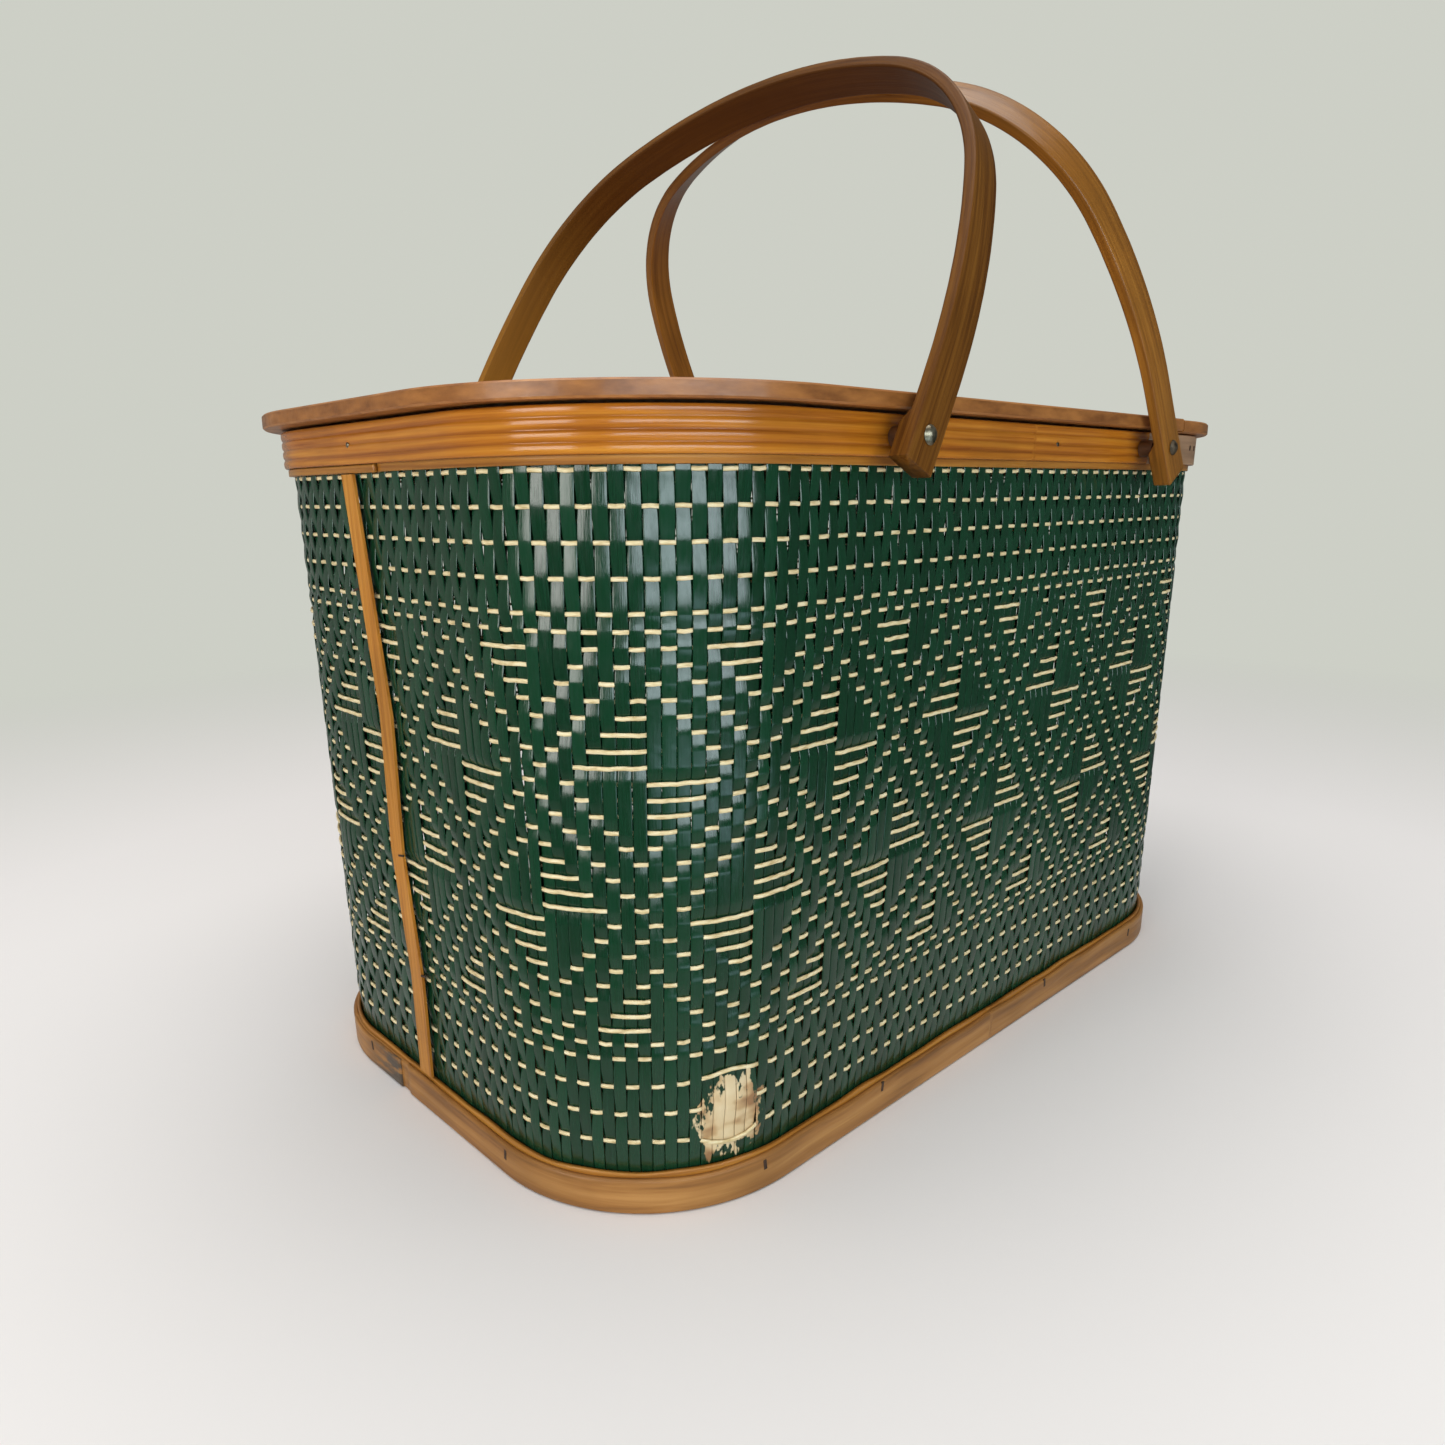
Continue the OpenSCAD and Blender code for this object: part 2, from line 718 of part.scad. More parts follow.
base_board();
bottom_band();
bottom_inner_strip();
splints_front();
splints_back();
splints_left_end();
splints_right_end();
splints_corner_front_left();
splints_corner_front_right();
splints_corner_back_left();
splints_corner_back_right();
weft_rings_upper();
weft_rings_pattern();
weft_rings_lower();
floats_front();
floats_back();
floats_left_end();
floats_right_end();
floats_corners();
seam_strip();
rim_inner_band();
rim_strip();
rim_reeded_band();
lid_board();
lid_flap();
hinge_leaves_board();
hinge_leaves_flap();
hinge_pins();
handle_near();
handle_far();
rivets_near();
rivets_far();
spacers_near();
spacers_far();
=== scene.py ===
"""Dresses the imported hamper: the weave, its woods and brass, and the floor, light and camera.

Metres, in the CAD's frame: +X along the hamper towards its flap, -Y the front, +Z up.
"""
import json
import math

import bmesh
import bpy
import numpy as np
from mathutils import Matrix, Vector


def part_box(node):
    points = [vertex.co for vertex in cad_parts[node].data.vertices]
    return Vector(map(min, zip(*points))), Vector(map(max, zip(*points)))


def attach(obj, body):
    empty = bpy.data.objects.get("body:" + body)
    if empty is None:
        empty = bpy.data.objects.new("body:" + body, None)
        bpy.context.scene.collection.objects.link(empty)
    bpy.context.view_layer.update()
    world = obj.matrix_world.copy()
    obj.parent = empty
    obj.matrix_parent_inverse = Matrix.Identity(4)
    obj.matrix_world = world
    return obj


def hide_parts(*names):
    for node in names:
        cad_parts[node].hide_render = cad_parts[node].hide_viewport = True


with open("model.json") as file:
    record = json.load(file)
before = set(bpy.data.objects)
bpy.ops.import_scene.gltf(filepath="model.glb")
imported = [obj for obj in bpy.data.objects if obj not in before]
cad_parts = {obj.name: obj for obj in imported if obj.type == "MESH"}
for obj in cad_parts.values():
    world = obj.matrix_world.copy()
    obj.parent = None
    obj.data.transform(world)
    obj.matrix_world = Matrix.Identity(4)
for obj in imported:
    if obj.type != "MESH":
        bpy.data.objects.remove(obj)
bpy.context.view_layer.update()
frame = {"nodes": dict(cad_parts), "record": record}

MM = 0.001
rng = np.random.default_rng(11)

# ---------------------------------------------------------------- the wall, from the frame
CORNER_R = 77 * MM  # at the floor
SLAT_T = 1.2 * MM  # the CAD slats' thickness
RIM_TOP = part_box("rim_reeded_band")[1].z
RIM_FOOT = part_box("rim_strip")[0].z
STRIP_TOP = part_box("bottom_inner_strip")[1].z
BAND_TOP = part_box("bottom_band")[1].z
FOOT_X = -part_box("splints_left_end")[1].x + SLAT_T
FOOT_Y = -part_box("splints_front")[1].y + SLAT_T
FLARE = -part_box("splints_front")[0].y - FOOT_Y
CX, CY = FOOT_X - CORNER_R, FOOT_Y - CORNER_R
MID_R = CORNER_R + FLARE / 2
ARC = math.pi / 2 * MID_R
GIRTH = 4 * CX + 4 * CY + 4 * ARC
# Each side: start along the girth, length, middle or corner centre, turn, curved
SIDES = [
    (-CX, 2 * CX, (0, -CY), 0, False),
    (CX, ARC, (CX, -CY), 0, True),
    (CX + ARC, 2 * CY, (CX, 0), 90, False),
    (CX + ARC + 2 * CY, ARC, (CX, CY), 90, True),
    (CX + 2 * ARC + 2 * CY, 2 * CX, (0, CY), 180, False),
    (3 * CX + 2 * ARC + 2 * CY, ARC, (-CX, CY), 180, True),
    (3 * CX + 3 * ARC + 2 * CY, 2 * CY, (-CX, 0), 270, False),
    (3 * CX + 3 * ARC + 4 * CY, ARC, (-CX, -CY), 270, True),
]


def lean(z):
    """How far the wall has leaned out at a height."""
    return z * FLARE / RIM_TOP


def on_wall(u, z, out):
    """Points at distance u along the girth (0 is the front's middle), height z and offset out."""
    u, z, out = np.broadcast_arrays(*(np.asarray(v, float) for v in (u, z, out)))
    u = (u + CX) % GIRTH - CX
    r = CORNER_R + lean(z) + out
    p = np.zeros(u.shape + (3,))
    for start, length, (x0, y0), turn, curved in SIDES:
        m = (u >= start) & (u < start + length)
        t = math.radians(turn)
        a = t + (u[m] - start) / MID_R if curved else t
        along = 0 if curved else u[m] - start - length / 2
        p[m, 0] = x0 + along * math.cos(t) + r[m] * np.sin(a)
        p[m, 1] = y0 + along * math.sin(t) - r[m] * np.cos(a)
        p[m, 2] = z[m]
    return p


# ---------------------------------------------------------------- the weaver's chart
# "#" is a strand over a splint. It repeats after 16 splints and 18 rows.
CHART = [
    ".#..####....#..#",
    "..#..###...#..#.",
    "#..#..##..#..#..",
    ".#..#..#.#..#..#",
    "..#..#..#..#..##",
    "...#..#...#..###",
    "....#..#.#..####",
    ".....#..#..#####",
    "#####..#..#.....",
    "####..#.#..#....",
    "###..#...#..#...",
    "##..#..#..#..#..",
    "#..#..#.#..#..#.",
    "..#..#..##..#..#",
    ".#..#...###..#..",
    "#..#....####..#.",
    "..#.....#####..#",
    "#..#####.....#..",
]
REPEATS = 16
COLUMNS = REPEATS * len(CHART[0])
PITCH = GIRTH / COLUMNS
PATTERN_START = -38.2 * MM  # girth place of the chart's left edge
UPPER_ROWS, LOWER_ROWS = 5, 3
CLOSE_ABOVE, CLOSE_BELOW = 1, 2  # plain close rows above and below the pattern
PATTERN_ROWS = len(CHART) + 7
WIDE_STEP, CLOSE_STEP = 11.8 * MM, 5.94 * MM
FIRST_ROW_DROP = 1.1 * MM  # from the rim's foot to the top row
CLOSE_ROWS = CLOSE_ABOVE + PATTERN_ROWS + CLOSE_BELOW
ROWS = UPPER_ROWS + CLOSE_ROWS + LOWER_ROWS

steps = [0] + [WIDE_STEP] * (UPPER_ROWS - 1) + [CLOSE_STEP] * CLOSE_ROWS + [WIDE_STEP] * LOWER_ROWS
ROW_Z = RIM_FOOT - FIRST_ROW_DROP - np.cumsum(steps)

over = np.zeros((ROWS, COLUMNS), bool)
for row in range(ROWS):
    chart_row = row - UPPER_ROWS - CLOSE_ABOVE
    if 0 <= chart_row < PATTERN_ROWS:
        line = CHART[chart_row % len(CHART)]
        over[row] = [mark == "#" for mark in line] * REPEATS
    else:
        over[row] = (row + np.arange(COLUMNS)) % 2 == 1

# The splints drift sideways on their way down: (place on the girth, drift at the foot), in mm
DRIFT = [(-700, 0), (-440, 0), (-345, -12), (-270, -2), (-215, 2), (-122, 9),
         (-31, 20), (60, 21), (160, 17), (290, 0), (700, 0)]
DRIFT_TOP, DRIFT_FOOT = 0.235, 0.028  # the drift grows from one height down to the other


def wrapped(u):
    """A girth place between half a girth before and half a girth after the front's middle."""
    return (np.asarray(u) + GIRTH / 2) % GIRTH - GIRTH / 2


def drift(u, z):
    """How far a splint at girth place u has moved sideways at height z."""
    places, amounts = zip(*DRIFT)
    amount = -np.interp(wrapped(u) / MM, places, amounts) * MM
    return amount * np.clip((DRIFT_TOP - z) / (DRIFT_TOP - DRIFT_FOOT), 0, 1.1)


def splint_u(c, z):
    """Girth place of the middle of splint c at height z."""
    u = PATTERN_START + (np.asarray(c) + 0.5) * PITCH
    return u + drift(u, z)


# The worn place near the foot of the front left corner: middle and half-size on the wall
WORN_U, WORN_Z = -178 * MM, 34 * MM
WORN_HALF = (16 * MM, 18 * MM)
WORN_CORE = 0.72  # share of the half-width in which the strands are loose

from_worn = np.abs(wrapped(splint_u(np.arange(COLUMNS), WORN_Z)) - WORN_U)
worn_columns = from_worn < WORN_HALF[0] * WORN_CORE
over[-3::2, worn_columns] = True  # two loose strands
over[-2, worn_columns] = False  # and between them one that has broken off


# ---------------------------------------------------------------- shader nodes
def new_material(name):
    """A material, its node tree and its Principled shader."""
    mat = bpy.data.materials.new(name)
    mat.use_nodes = True
    return mat, mat.node_tree, mat.node_tree.nodes["Principled BSDF"]


def feed(tree, node, inputs):
    """Gives a node's inputs their values: sockets are linked, numbers and colours are set."""
    for key, value in inputs.items():
        socket = node.inputs[key]
        if isinstance(value, bpy.types.NodeSocket):
            tree.links.new(value, socket)
        elif socket.type == "RGBA":
            socket.default_value = (*value, 1)
        else:
            socket.default_value = value


def add_node(tree, kind, inputs=None, **settings):
    """A new node with its settings and inputs."""
    node = tree.nodes.new("ShaderNode" + kind)
    for key, value in settings.items():
        setattr(node, key, value)
    feed(tree, node, inputs or {})
    return node


def math_node(tree, operation, *values):
    """The result of a Math node on sockets or numbers."""
    return add_node(tree, "Math", dict(enumerate(values)), operation=operation).outputs["Value"]


def vector_node(tree, operation, *vectors):
    """A Vector Math node on sockets or plain vectors."""
    return add_node(tree, "VectorMath", dict(enumerate(vectors)), operation=operation)


def attribute_vector(tree, name):
    """A mesh attribute of three numbers."""
    return add_node(tree, "Attribute", attribute_name=name).outputs["Vector"]


def parts_of(tree, vector):
    """The sockets X, Y and Z of a vector."""
    return add_node(tree, "SeparateXYZ", {"Vector": vector}).outputs


def coordinates(tree, scale, attribute=None):
    """Object coordinates, or a mesh attribute, stretched for a texture."""
    if attribute:
        vector = attribute_vector(tree, attribute)
    else:
        vector = add_node(tree, "TexCoord").outputs["Object"]
    return add_node(tree, "Mapping", {"Vector": vector, "Scale": scale}).outputs["Vector"]


def distance_from(tree, vector, centre, scale):
    """The distance of a vector from a place, measured with a scale for each direction."""
    offset = [-c * s for c, s in zip(centre, scale)]
    inputs = {"Vector": vector, "Location": offset, "Scale": scale}
    away = add_node(tree, "Mapping", inputs).outputs["Vector"]
    return vector_node(tree, "LENGTH", away).outputs["Value"]


def noise(tree, vector, detail=3.0, rough=0.5, distortion=0.0):
    """Noise of one cell to each unit of the vector."""
    inputs = {"Vector": vector, "Scale": 1.0, "Detail": detail, "Roughness": rough}
    return add_node(tree, "TexNoise", {**inputs, "Distortion": distortion}).outputs["Fac"]


def ramp(tree, fac, stops):
    """A colour ramp; stops are (position, colour)."""
    node = add_node(tree, "ValToRGB", {"Fac": fac})
    elements = node.color_ramp.elements
    while len(elements) < len(stops):
        elements.new(0.5)
    for element, (position, colour) in zip(elements, stops):
        element.position = position
        element.color = (*colour, 1)
    return node.outputs["Color"]


def value_ramp(tree, value, low, high, from_low=0.3, from_high=0.7):
    """A value that goes from low to high as another one goes from from_low to from_high."""
    inputs = {"Value": value, "From Min": from_low, "From Max": from_high, "To Min": low, "To Max": high}
    return add_node(tree, "MapRange", inputs).outputs["Result"]


def mix(tree, fac, a, b):
    """Mixes two colours; fac, a and b are sockets or plain values."""
    return add_node(tree, "Mix", {"Factor": fac, "A": a, "B": b}, data_type="RGBA").outputs["Result"]


def bump(tree, height, strength, distance):
    """The surface's normal, bumped by a height."""
    inputs = {"Height": height, "Strength": strength, "Distance": distance}
    return add_node(tree, "Bump", inputs).outputs["Normal"]


# ---------------------------------------------------------------- materials
COAT_ROUGHNESS = 0.12
DIRT = (0.09, 0.065, 0.045)


def cut_edge(tree, colour, scale, dark, light):
    """A board's cut edges look different from its faces."""
    fine = noise(tree, coordinates(tree, scale), 4, 0.6)
    side = ramp(tree, fine, [(0.30, dark), (0.70, light)])
    # the normal in the piece's own space, so the look rides with the flap
    normal = add_node(tree, "NewGeometry").outputs["True Normal"]
    turned = add_node(tree, "VectorTransform", {"Vector": normal},
                      vector_type="NORMAL", convert_from="WORLD", convert_to="OBJECT")
    up = math_node(tree, "ABSOLUTE", parts_of(tree, turned.outputs["Vector"])["Z"])
    return mix(tree, value_ramp(tree, up, 0, 1, 0.3, 0.6), side, colour)


def painted_deep_shade(tree, colour, dark, deep, shallow, full=None, gone=None):
    """Painted shade: darker where a strip's section lies deep, between the reeded band's beads and on a
    strap's inner face, and if asked only in the middle of its run.
    """
    parts = parts_of(tree, attribute_vector(tree, "strip"))
    amount = value_ramp(tree, parts["Z"], 0.75, 0, deep, shallow)
    if full is not None:
        from_middle = math_node(tree, "ABSOLUTE", parts["X"])
        amount = math_node(tree, "MULTIPLY", amount, value_ramp(tree, from_middle, 1, 0, full, gone))
    return mix(tree, amount, colour, dark)


def painted_lit_end(tree, colour, start, end, pale):
    """Painted light: the colour goes paler towards one end of the strip, standing in for the brighter
    light on that end.
    """
    run = parts_of(tree, attribute_vector(tree, "strip"))["X"]
    return mix(tree, value_ramp(tree, run, 0, 0.6, start, end), colour, pale)


def stained(tree, colour, place, reach):
    """A grey, dirty stretch round one place along the strip."""
    away = distance_from(tree, attribute_vector(tree, "strip"), (place, 0, 0), (1, 0, 0))
    near = value_ramp(tree, away, 1, 0, 0.2 * reach, reach)
    blotches = noise(tree, coordinates(tree, (90, 300, 60), "strip"))
    amount = math_node(tree, "MULTIPLY", near, value_ramp(tree, blotches, 0, 1, 0.38, 0.55))
    return mix(tree, amount, colour, DIRT)


def wood(name, light, mid, dark, grain, roughness=(0.25, 0.4), coat=0.3, specular=0.5,
         attribute=None, patchy=0.55, edge=None, painted_shade=None, painted_light_end=None, stain=None):
    """Varnished wood in three tones. grain is the texture's scale along x, y and z, or along the
    attribute: small along the fibres. roughness gives its lowest and highest value."""
    mat, tree, shader = new_material(name)
    streaks = noise(tree, coordinates(tree, grain, attribute), 4, 0.6, 0.4)
    colour = ramp(tree, streaks, [(0.30, dark), (0.5, mid), (0.70, light)])
    patches = noise(tree, coordinates(tree, (16, 16, 16)))
    darker = [0.55 * c for c in mid]
    colour = mix(tree, value_ramp(tree, patches, 0, patchy, 0.45, 0.75), colour, darker)
    if edge:
        colour = cut_edge(tree, colour, *edge)
    # painted shade: darker where the strip's section lies deep
    if painted_shade:
        colour = painted_deep_shade(tree, colour, dark, *painted_shade)
    # painted light: paler towards one end of the strip
    if painted_light_end:
        colour = painted_lit_end(tree, colour, *painted_light_end)
    if stain:
        colour = stained(tree, colour, *stain)
    pores = noise(tree, coordinates(tree, [3 * g for g in grain], attribute), 3, 0.7)
    feed(tree, shader, {
        "Base Color": colour,
        "Roughness": value_ramp(tree, pores, *roughness),
        "Specular IOR Level": specular,
        "Coat Weight": coat,
        "Coat Roughness": COAT_ROUGHNESS,
        "Normal": bump(tree, pores, 0.25, 0.0004),
    })
    return mat


def splint_material():
    """Glossy green splints, worn to the bare wood at one place."""
    mat, tree, shader = new_material("green_splint")
    tone = add_node(tree, "Attribute", attribute_name="tone").outputs["Fac"]
    colour = ramp(tree, tone, [(0.0, (0.0015, 0.025, 0.0075)), (0.5, (0.0022, 0.033, 0.0105)),
                               (1.0, (0.0040, 0.044, 0.0160))])
    fibres = noise(tree, coordinates(tree, (1500, 60, 1), "wall"), 3, 0.6)
    colour = mix(tree, value_ramp(tree, fibres, 0, 0.4), colour, (0.014, 0.052, 0.032))
    # distance from the worn place, in half-sizes, made ragged along the fibres
    away = distance_from(tree, attribute_vector(tree, "wall"), (WORN_U, WORN_Z, 0),
                         (1 / WORN_HALF[0], 1 / WORN_HALF[1], 0))
    ragged = noise(tree, coordinates(tree, (210, 110, 1), "wall"), 3, 0.55)
    worn = value_ramp(tree, math_node(tree, "MULTIPLY_ADD", ragged, 2.0, away), 1, 0, 1.80, 1.88)
    bare = noise(tree, coordinates(tree, (70, 90, 1), "wall"), 2, 0.5)
    flesh = ramp(tree, bare, [(0.38, (0.30, 0.15, 0.06)), (0.46, (0.48, 0.30, 0.14)),
                              (0.54, (0.64, 0.48, 0.27)), (0.7, (0.68, 0.54, 0.33))])
    scuffs = noise(tree, coordinates(tree, (420, 130, 1), "wall"), 4, 0.7)
    smooth = value_ramp(tree, scuffs, 0.09, 0.26, 0.35, 0.65)
    feed(tree, shader, {
        "Base Color": mix(tree, worn, colour, flesh),
        "Roughness": math_node(tree, "MULTIPLY_ADD", worn, 0.4, smooth),
        "Coat Weight": 0.25,
        "Coat Roughness": COAT_ROUGHNESS,
        "Normal": bump(tree, fibres, 0.35, 0.0003),
    })
    return mat


def strand_material():
    """Natural round strands, a little streaked."""
    mat, tree, shader = new_material("natural_strand")
    along = noise(tree, coordinates(tree, (220, 900, 1), "wall"))
    stops = [(0.3, (0.52, 0.38, 0.17)), (0.5, (0.74, 0.60, 0.34)), (0.75, (0.84, 0.74, 0.50))]
    feed(tree, shader, {
        "Base Color": ramp(tree, along, stops),
        "Roughness": 0.45,
        "Normal": bump(tree, along, 0.4, 0.0003),
    })
    return mat


def metal_material(name, light, dark, metallic, roughness):
    """Metal with fine spots in its colour and gloss."""
    mat, tree, shader = new_material(name)
    spots = noise(tree, coordinates(tree, (420, 420, 420)))
    feed(tree, shader, {
        "Base Color": ramp(tree, spots, [(0.35, dark), (0.65, light)]),
        "Metallic": metallic,
        "Roughness": value_ramp(tree, spots, roughness, roughness + 0.2),
    })
    return mat


# Bands: the grain runs along the strip, which is the first number of its attribute
# Painted shade: the reeded band darkens in the hollows between its beads
band_wood = wood(
    "band_wood", (0.58, 0.230, 0.024), (0.46, 0.152, 0.012), (0.25, 0.064, 0.005), (9, 420, 90),
    roughness=(0.14, 0.24), coat=0.28, specular=0.4, attribute="strip", patchy=0.7,
    painted_shade=(3.2 * MM, 3.75 * MM))
strip_wood = wood(
    "strip_wood", (0.48, 0.215, 0.035), (0.37, 0.145, 0.020), (0.20, 0.065, 0.008), (9, 300, 90),
    specular=0.3, attribute="strip")
foot_wood = wood(
    "foot_wood", (0.46, 0.225, 0.065), (0.34, 0.148, 0.036), (0.16, 0.062, 0.015), (9, 160, 60),
    roughness=(0.35, 0.55), coat=0.1, specular=0.3, attribute="strip", patchy=0.8,
    stain=(-372 * MM, 34 * MM))
pale_wood = wood(
    "pale_wood", (0.42, 0.26, 0.15), (0.33, 0.19, 0.105), (0.22, 0.12, 0.065), (9, 160, 60),
    roughness=(0.45, 0.6), coat=0.1, attribute="strip")
seam_wood = wood(
    "seam_wood", (0.60, 0.270, 0.045), (0.48, 0.190, 0.025), (0.29, 0.095, 0.010), (200, 420, 9),
    coat=0.05, specular=0.2)
base_wood = wood(
    "base_wood", (0.62, 0.44, 0.25), (0.52, 0.35, 0.18), (0.38, 0.24, 0.12), (10, 140, 140),
    roughness=(0.5, 0.65), coat=0)
inner_wood = wood(
    "inner_wood", (0.60, 0.42, 0.22), (0.50, 0.32, 0.15), (0.35, 0.21, 0.09), (9, 9, 300),
    roughness=(0.45, 0.6), coat=0.1)
lid_wood = wood(
    "lid_wood", (0.46, 0.195, 0.055), (0.36, 0.135, 0.034), (0.22, 0.075, 0.018), (7, 90, 90),
    roughness=(0.28, 0.45), coat=0.15, specular=0.35,
    edge=((60, 60, 200), (0.17, 0.058, 0.014), (0.37, 0.145, 0.036)))
# Painted shade on both handles: the straps' inner faces darken round the crown. The near handle also has
# painted light: one arm's end goes paler.
near_handle_wood = wood(
    "handle_near_wood", (0.19, 0.076, 0.011), (0.125, 0.045, 0.006), (0.066, 0.021, 0.003),
    (12, 520, 520), roughness=(0.34, 0.48), coat=0, specular=0.12, attribute="strip", patchy=0.6,
    painted_shade=(5.0 * MM, 2.4 * MM, 110 * MM, 210 * MM),
    painted_light_end=(-130 * MM, -270 * MM, (0.42, 0.185, 0.022)))
# Painted shade: the strap's inner face darkens round the crown
far_handle_wood = wood(
    "handle_far_wood", (0.35, 0.146, 0.021), (0.262, 0.100, 0.012), (0.138, 0.048, 0.006),
    (12, 520, 520), roughness=(0.26, 0.40), coat=0.2, specular=0.3, attribute="strip", patchy=0.7,
    painted_shade=(5.0 * MM, 2.4 * MM, 90 * MM, 180 * MM))
splint_green = splint_material()
strand_straw = strand_material()
brass = metal_material("brass", (0.62, 0.46, 0.20), (0.40, 0.27, 0.10), 1.0, 0.28)
rivet_metal = metal_material("rivet_metal", (0.42, 0.37, 0.27), (0.20, 0.17, 0.11), 1.0, 0.25)
dull_metal = metal_material("dull_metal", (0.16, 0.12, 0.08), (0.05, 0.035, 0.022), 0.8, 0.45)
spacer_wood = wood(
    "spacer_wood", (0.16, 0.06, 0.015), (0.11, 0.04, 0.010), (0.06, 0.02, 0.005), (90, 90, 90),
    roughness=(0.5, 0.6), coat=0)
rust = metal_material("rusty_steel", (0.10, 0.055, 0.035), (0.03, 0.016, 0.010), 0.4, 0.5)

NODE_MATERIALS = {
    "base_board": base_wood,
    "bottom_band": foot_wood,
    "bottom_inner_strip": strip_wood,
    "seam_strip": seam_wood,
    "rim_inner_band": inner_wood,
    "rim_strip": strip_wood,
    "rim_reeded_band": band_wood,
    "lid_board": lid_wood,
    "lid_flap": lid_wood,
    "handle_near": near_handle_wood,
    "handle_far": far_handle_wood,
    "hinge_leaves_board": brass,
    "hinge_leaves_flap": brass,
    "hinge_pins": brass,
    "rivets_near": rivet_metal,
    "rivets_far": dull_metal,
    "spacers_near": spacer_wood,
    "spacers_far": spacer_wood,
}


def paint(obj, material):
    """Puts one material on a whole object."""
    if not obj.material_slots:
        obj.data.materials.append(material)
    for s in obj.material_slots:
        s.material = material


for node, obj in frame["nodes"].items():
    if node.startswith("splints"):
        paint(obj, splint_green)
    elif node.startswith(("weft", "floats")):
        paint(obj, strand_straw)
    else:
        paint(obj, NODE_MATERIALS[node])


# ---------------------------------------------------------------- mesh helpers
def add_mesh(name, verts, faces, material, body="hamper", attributes=None):
    """A smooth mesh object that rides on a body. An attribute has one or three numbers a point."""
    mesh = bpy.data.meshes.new(name)
    mesh.from_pydata(verts, [], faces)
    mesh.update()
    for key, data in (attributes or {}).items():
        kind, field = ("FLOAT", "value") if data.ndim == 1 else ("FLOAT_VECTOR", "vector")
        layer = mesh.attributes.new(key, kind, "POINT")
        layer.data.foreach_set(field, np.ascontiguousarray(data, np.float32).ravel())
    mesh.polygons.foreach_set("use_smooth", [True] * len(mesh.polygons))
    obj = bpy.data.objects.new(name, mesh)
    bpy.context.scene.collection.objects.link(obj)
    mesh.materials.append(material)
    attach(obj, body)
    return obj


def skin(sections, closed_path=False):
    """Faces for tubes whose points are sections[tube, station, corner]; rings are closed."""
    tubes, stations, corners = sections.shape[:3]
    index = np.arange(tubes * stations * corners).reshape(tubes, stations, corners)
    here = index if closed_path else index[:, :-1]
    there = np.roll(index, -1, 1) if closed_path else index[:, 1:]
    quads = np.stack([here, np.roll(here, -1, 2), np.roll(there, -1, 2), there], -1).reshape(-1, 4)
    faces = quads.tolist()
    if not closed_path:
        faces += index[:, 0, ::-1].tolist() + index[:, -1].tolist()
    return sections.reshape(-1, 3), faces


# ---------------------------------------------------------------- splints
# A splint dips in behind the strands that cross over it and stands out over the others. From row to
# row it is a small tilted tile, steeper where it comes out from behind a strand
DENT, RISE = -1.0 * MM, 0.25 * MM
SPLINT_T = 0.55 * MM
SPLINT_TOP, SPLINT_FOOT = RIM_TOP - 1.5 * MM, 1.5 * MM
TUCKED = -0.55 * MM  # where its ends lie, inside the rim's and the foot's bands
TUCKED_ABOVE, TUCKED_BELOW = RIM_FOOT + 4 * MM, ROW_Z[-1] - 6 * MM
WIDE_GAP = 8 * MM
WIDE_SHARES, CLOSE_SHARES = (0, 0.08, 0.22, 0.45, 0.72, 0.92), (0, 0.14, 0.5, 0.86)
LEVEL_PART = 0.04  # share of a gap between rows that stays level, at each of its ends
ARCHED = 0.55  # 0 is a straight way from row to row, 1 a quarter of a circle


def between(share, here, there):
    """Offsets of all splints at a share of the way between two rows."""
    way = min(max((share - LEVEL_PART) / (1 - 2 * LEVEL_PART), 0), 1)
    turn = way * math.pi / 2
    arch = np.where(there > here, math.sin(turn), 1 - math.cos(turn))
    way = way * (1 - ARCHED) + arch * ARCHED
    return here * (1 - way) + there * way


row_out = np.where(over, DENT, RISE)
levels, splint_out = [], []
for row in range(ROWS - 1):
    gap = ROW_Z[row] - ROW_Z[row + 1]
    shares = WIDE_SHARES if gap > WIDE_GAP else CLOSE_SHARES
    for share in shares:
        levels.append(ROW_Z[row] - gap * share)
        splint_out.append(between(share, row_out[row], row_out[row + 1]))
ends = np.full((2, COLUMNS), TUCKED)
levels = np.array([SPLINT_TOP, TUCKED_ABOVE, *levels, ROW_Z[-1], TUCKED_BELOW, SPLINT_FOOT])
splint_out = np.concatenate([ends, splint_out, row_out[-1:], ends])

columns = np.arange(COLUMNS)
place = splint_u(columns[:, None], levels[None, :])
pitch_here = (splint_u(columns[:, None] + 1, levels) - splint_u(columns[:, None] - 1, levels)) / 2
splint_width = 0.985 + rng.uniform(-0.025, 0.0, COLUMNS)  # as a share of the pitch
# Across a splint: share of its width, and how many mm that point lies behind its face
ACROSS = [(-0.5, 0.20), (-0.45, 0.05), (-0.38, 0), (0.38, 0),
          (0.45, 0.05), (0.5, 0.20), (0.47, SPLINT_T / MM), (-0.47, SPLINT_T / MM)]
wander = rng.normal(0, 0.05 * MM, (COLUMNS, 1))
tilt = rng.normal(0, 0.08 * MM, (COLUMNS, 1)) + rng.normal(0, 0.02 * MM, (COLUMNS, len(levels)))
sections, wall_at = [], []
for share, behind in ACROSS:
    u = place + share * pitch_here * splint_width[:, None]
    depth = splint_out.T - behind * MM + wander + tilt * share * 2
    sections.append(on_wall(u, levels[None, :], depth))
    wall_at.append(np.stack([wrapped(u), np.broadcast_to(levels[None, :], u.shape), depth], -1))
verts, faces = skin(np.stack(sections, 2))
wall_at = np.stack(wall_at, 2).reshape(-1, 3)
tone = np.repeat(rng.uniform(0, 1, COLUMNS), len(levels) * len(ACROSS))
splints = add_mesh("woven_splints", verts, faces, splint_green,
                   attributes={"wall": wall_at, "tone": tone})
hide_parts(*[n for n in frame["nodes"] if n.startswith("splints")])

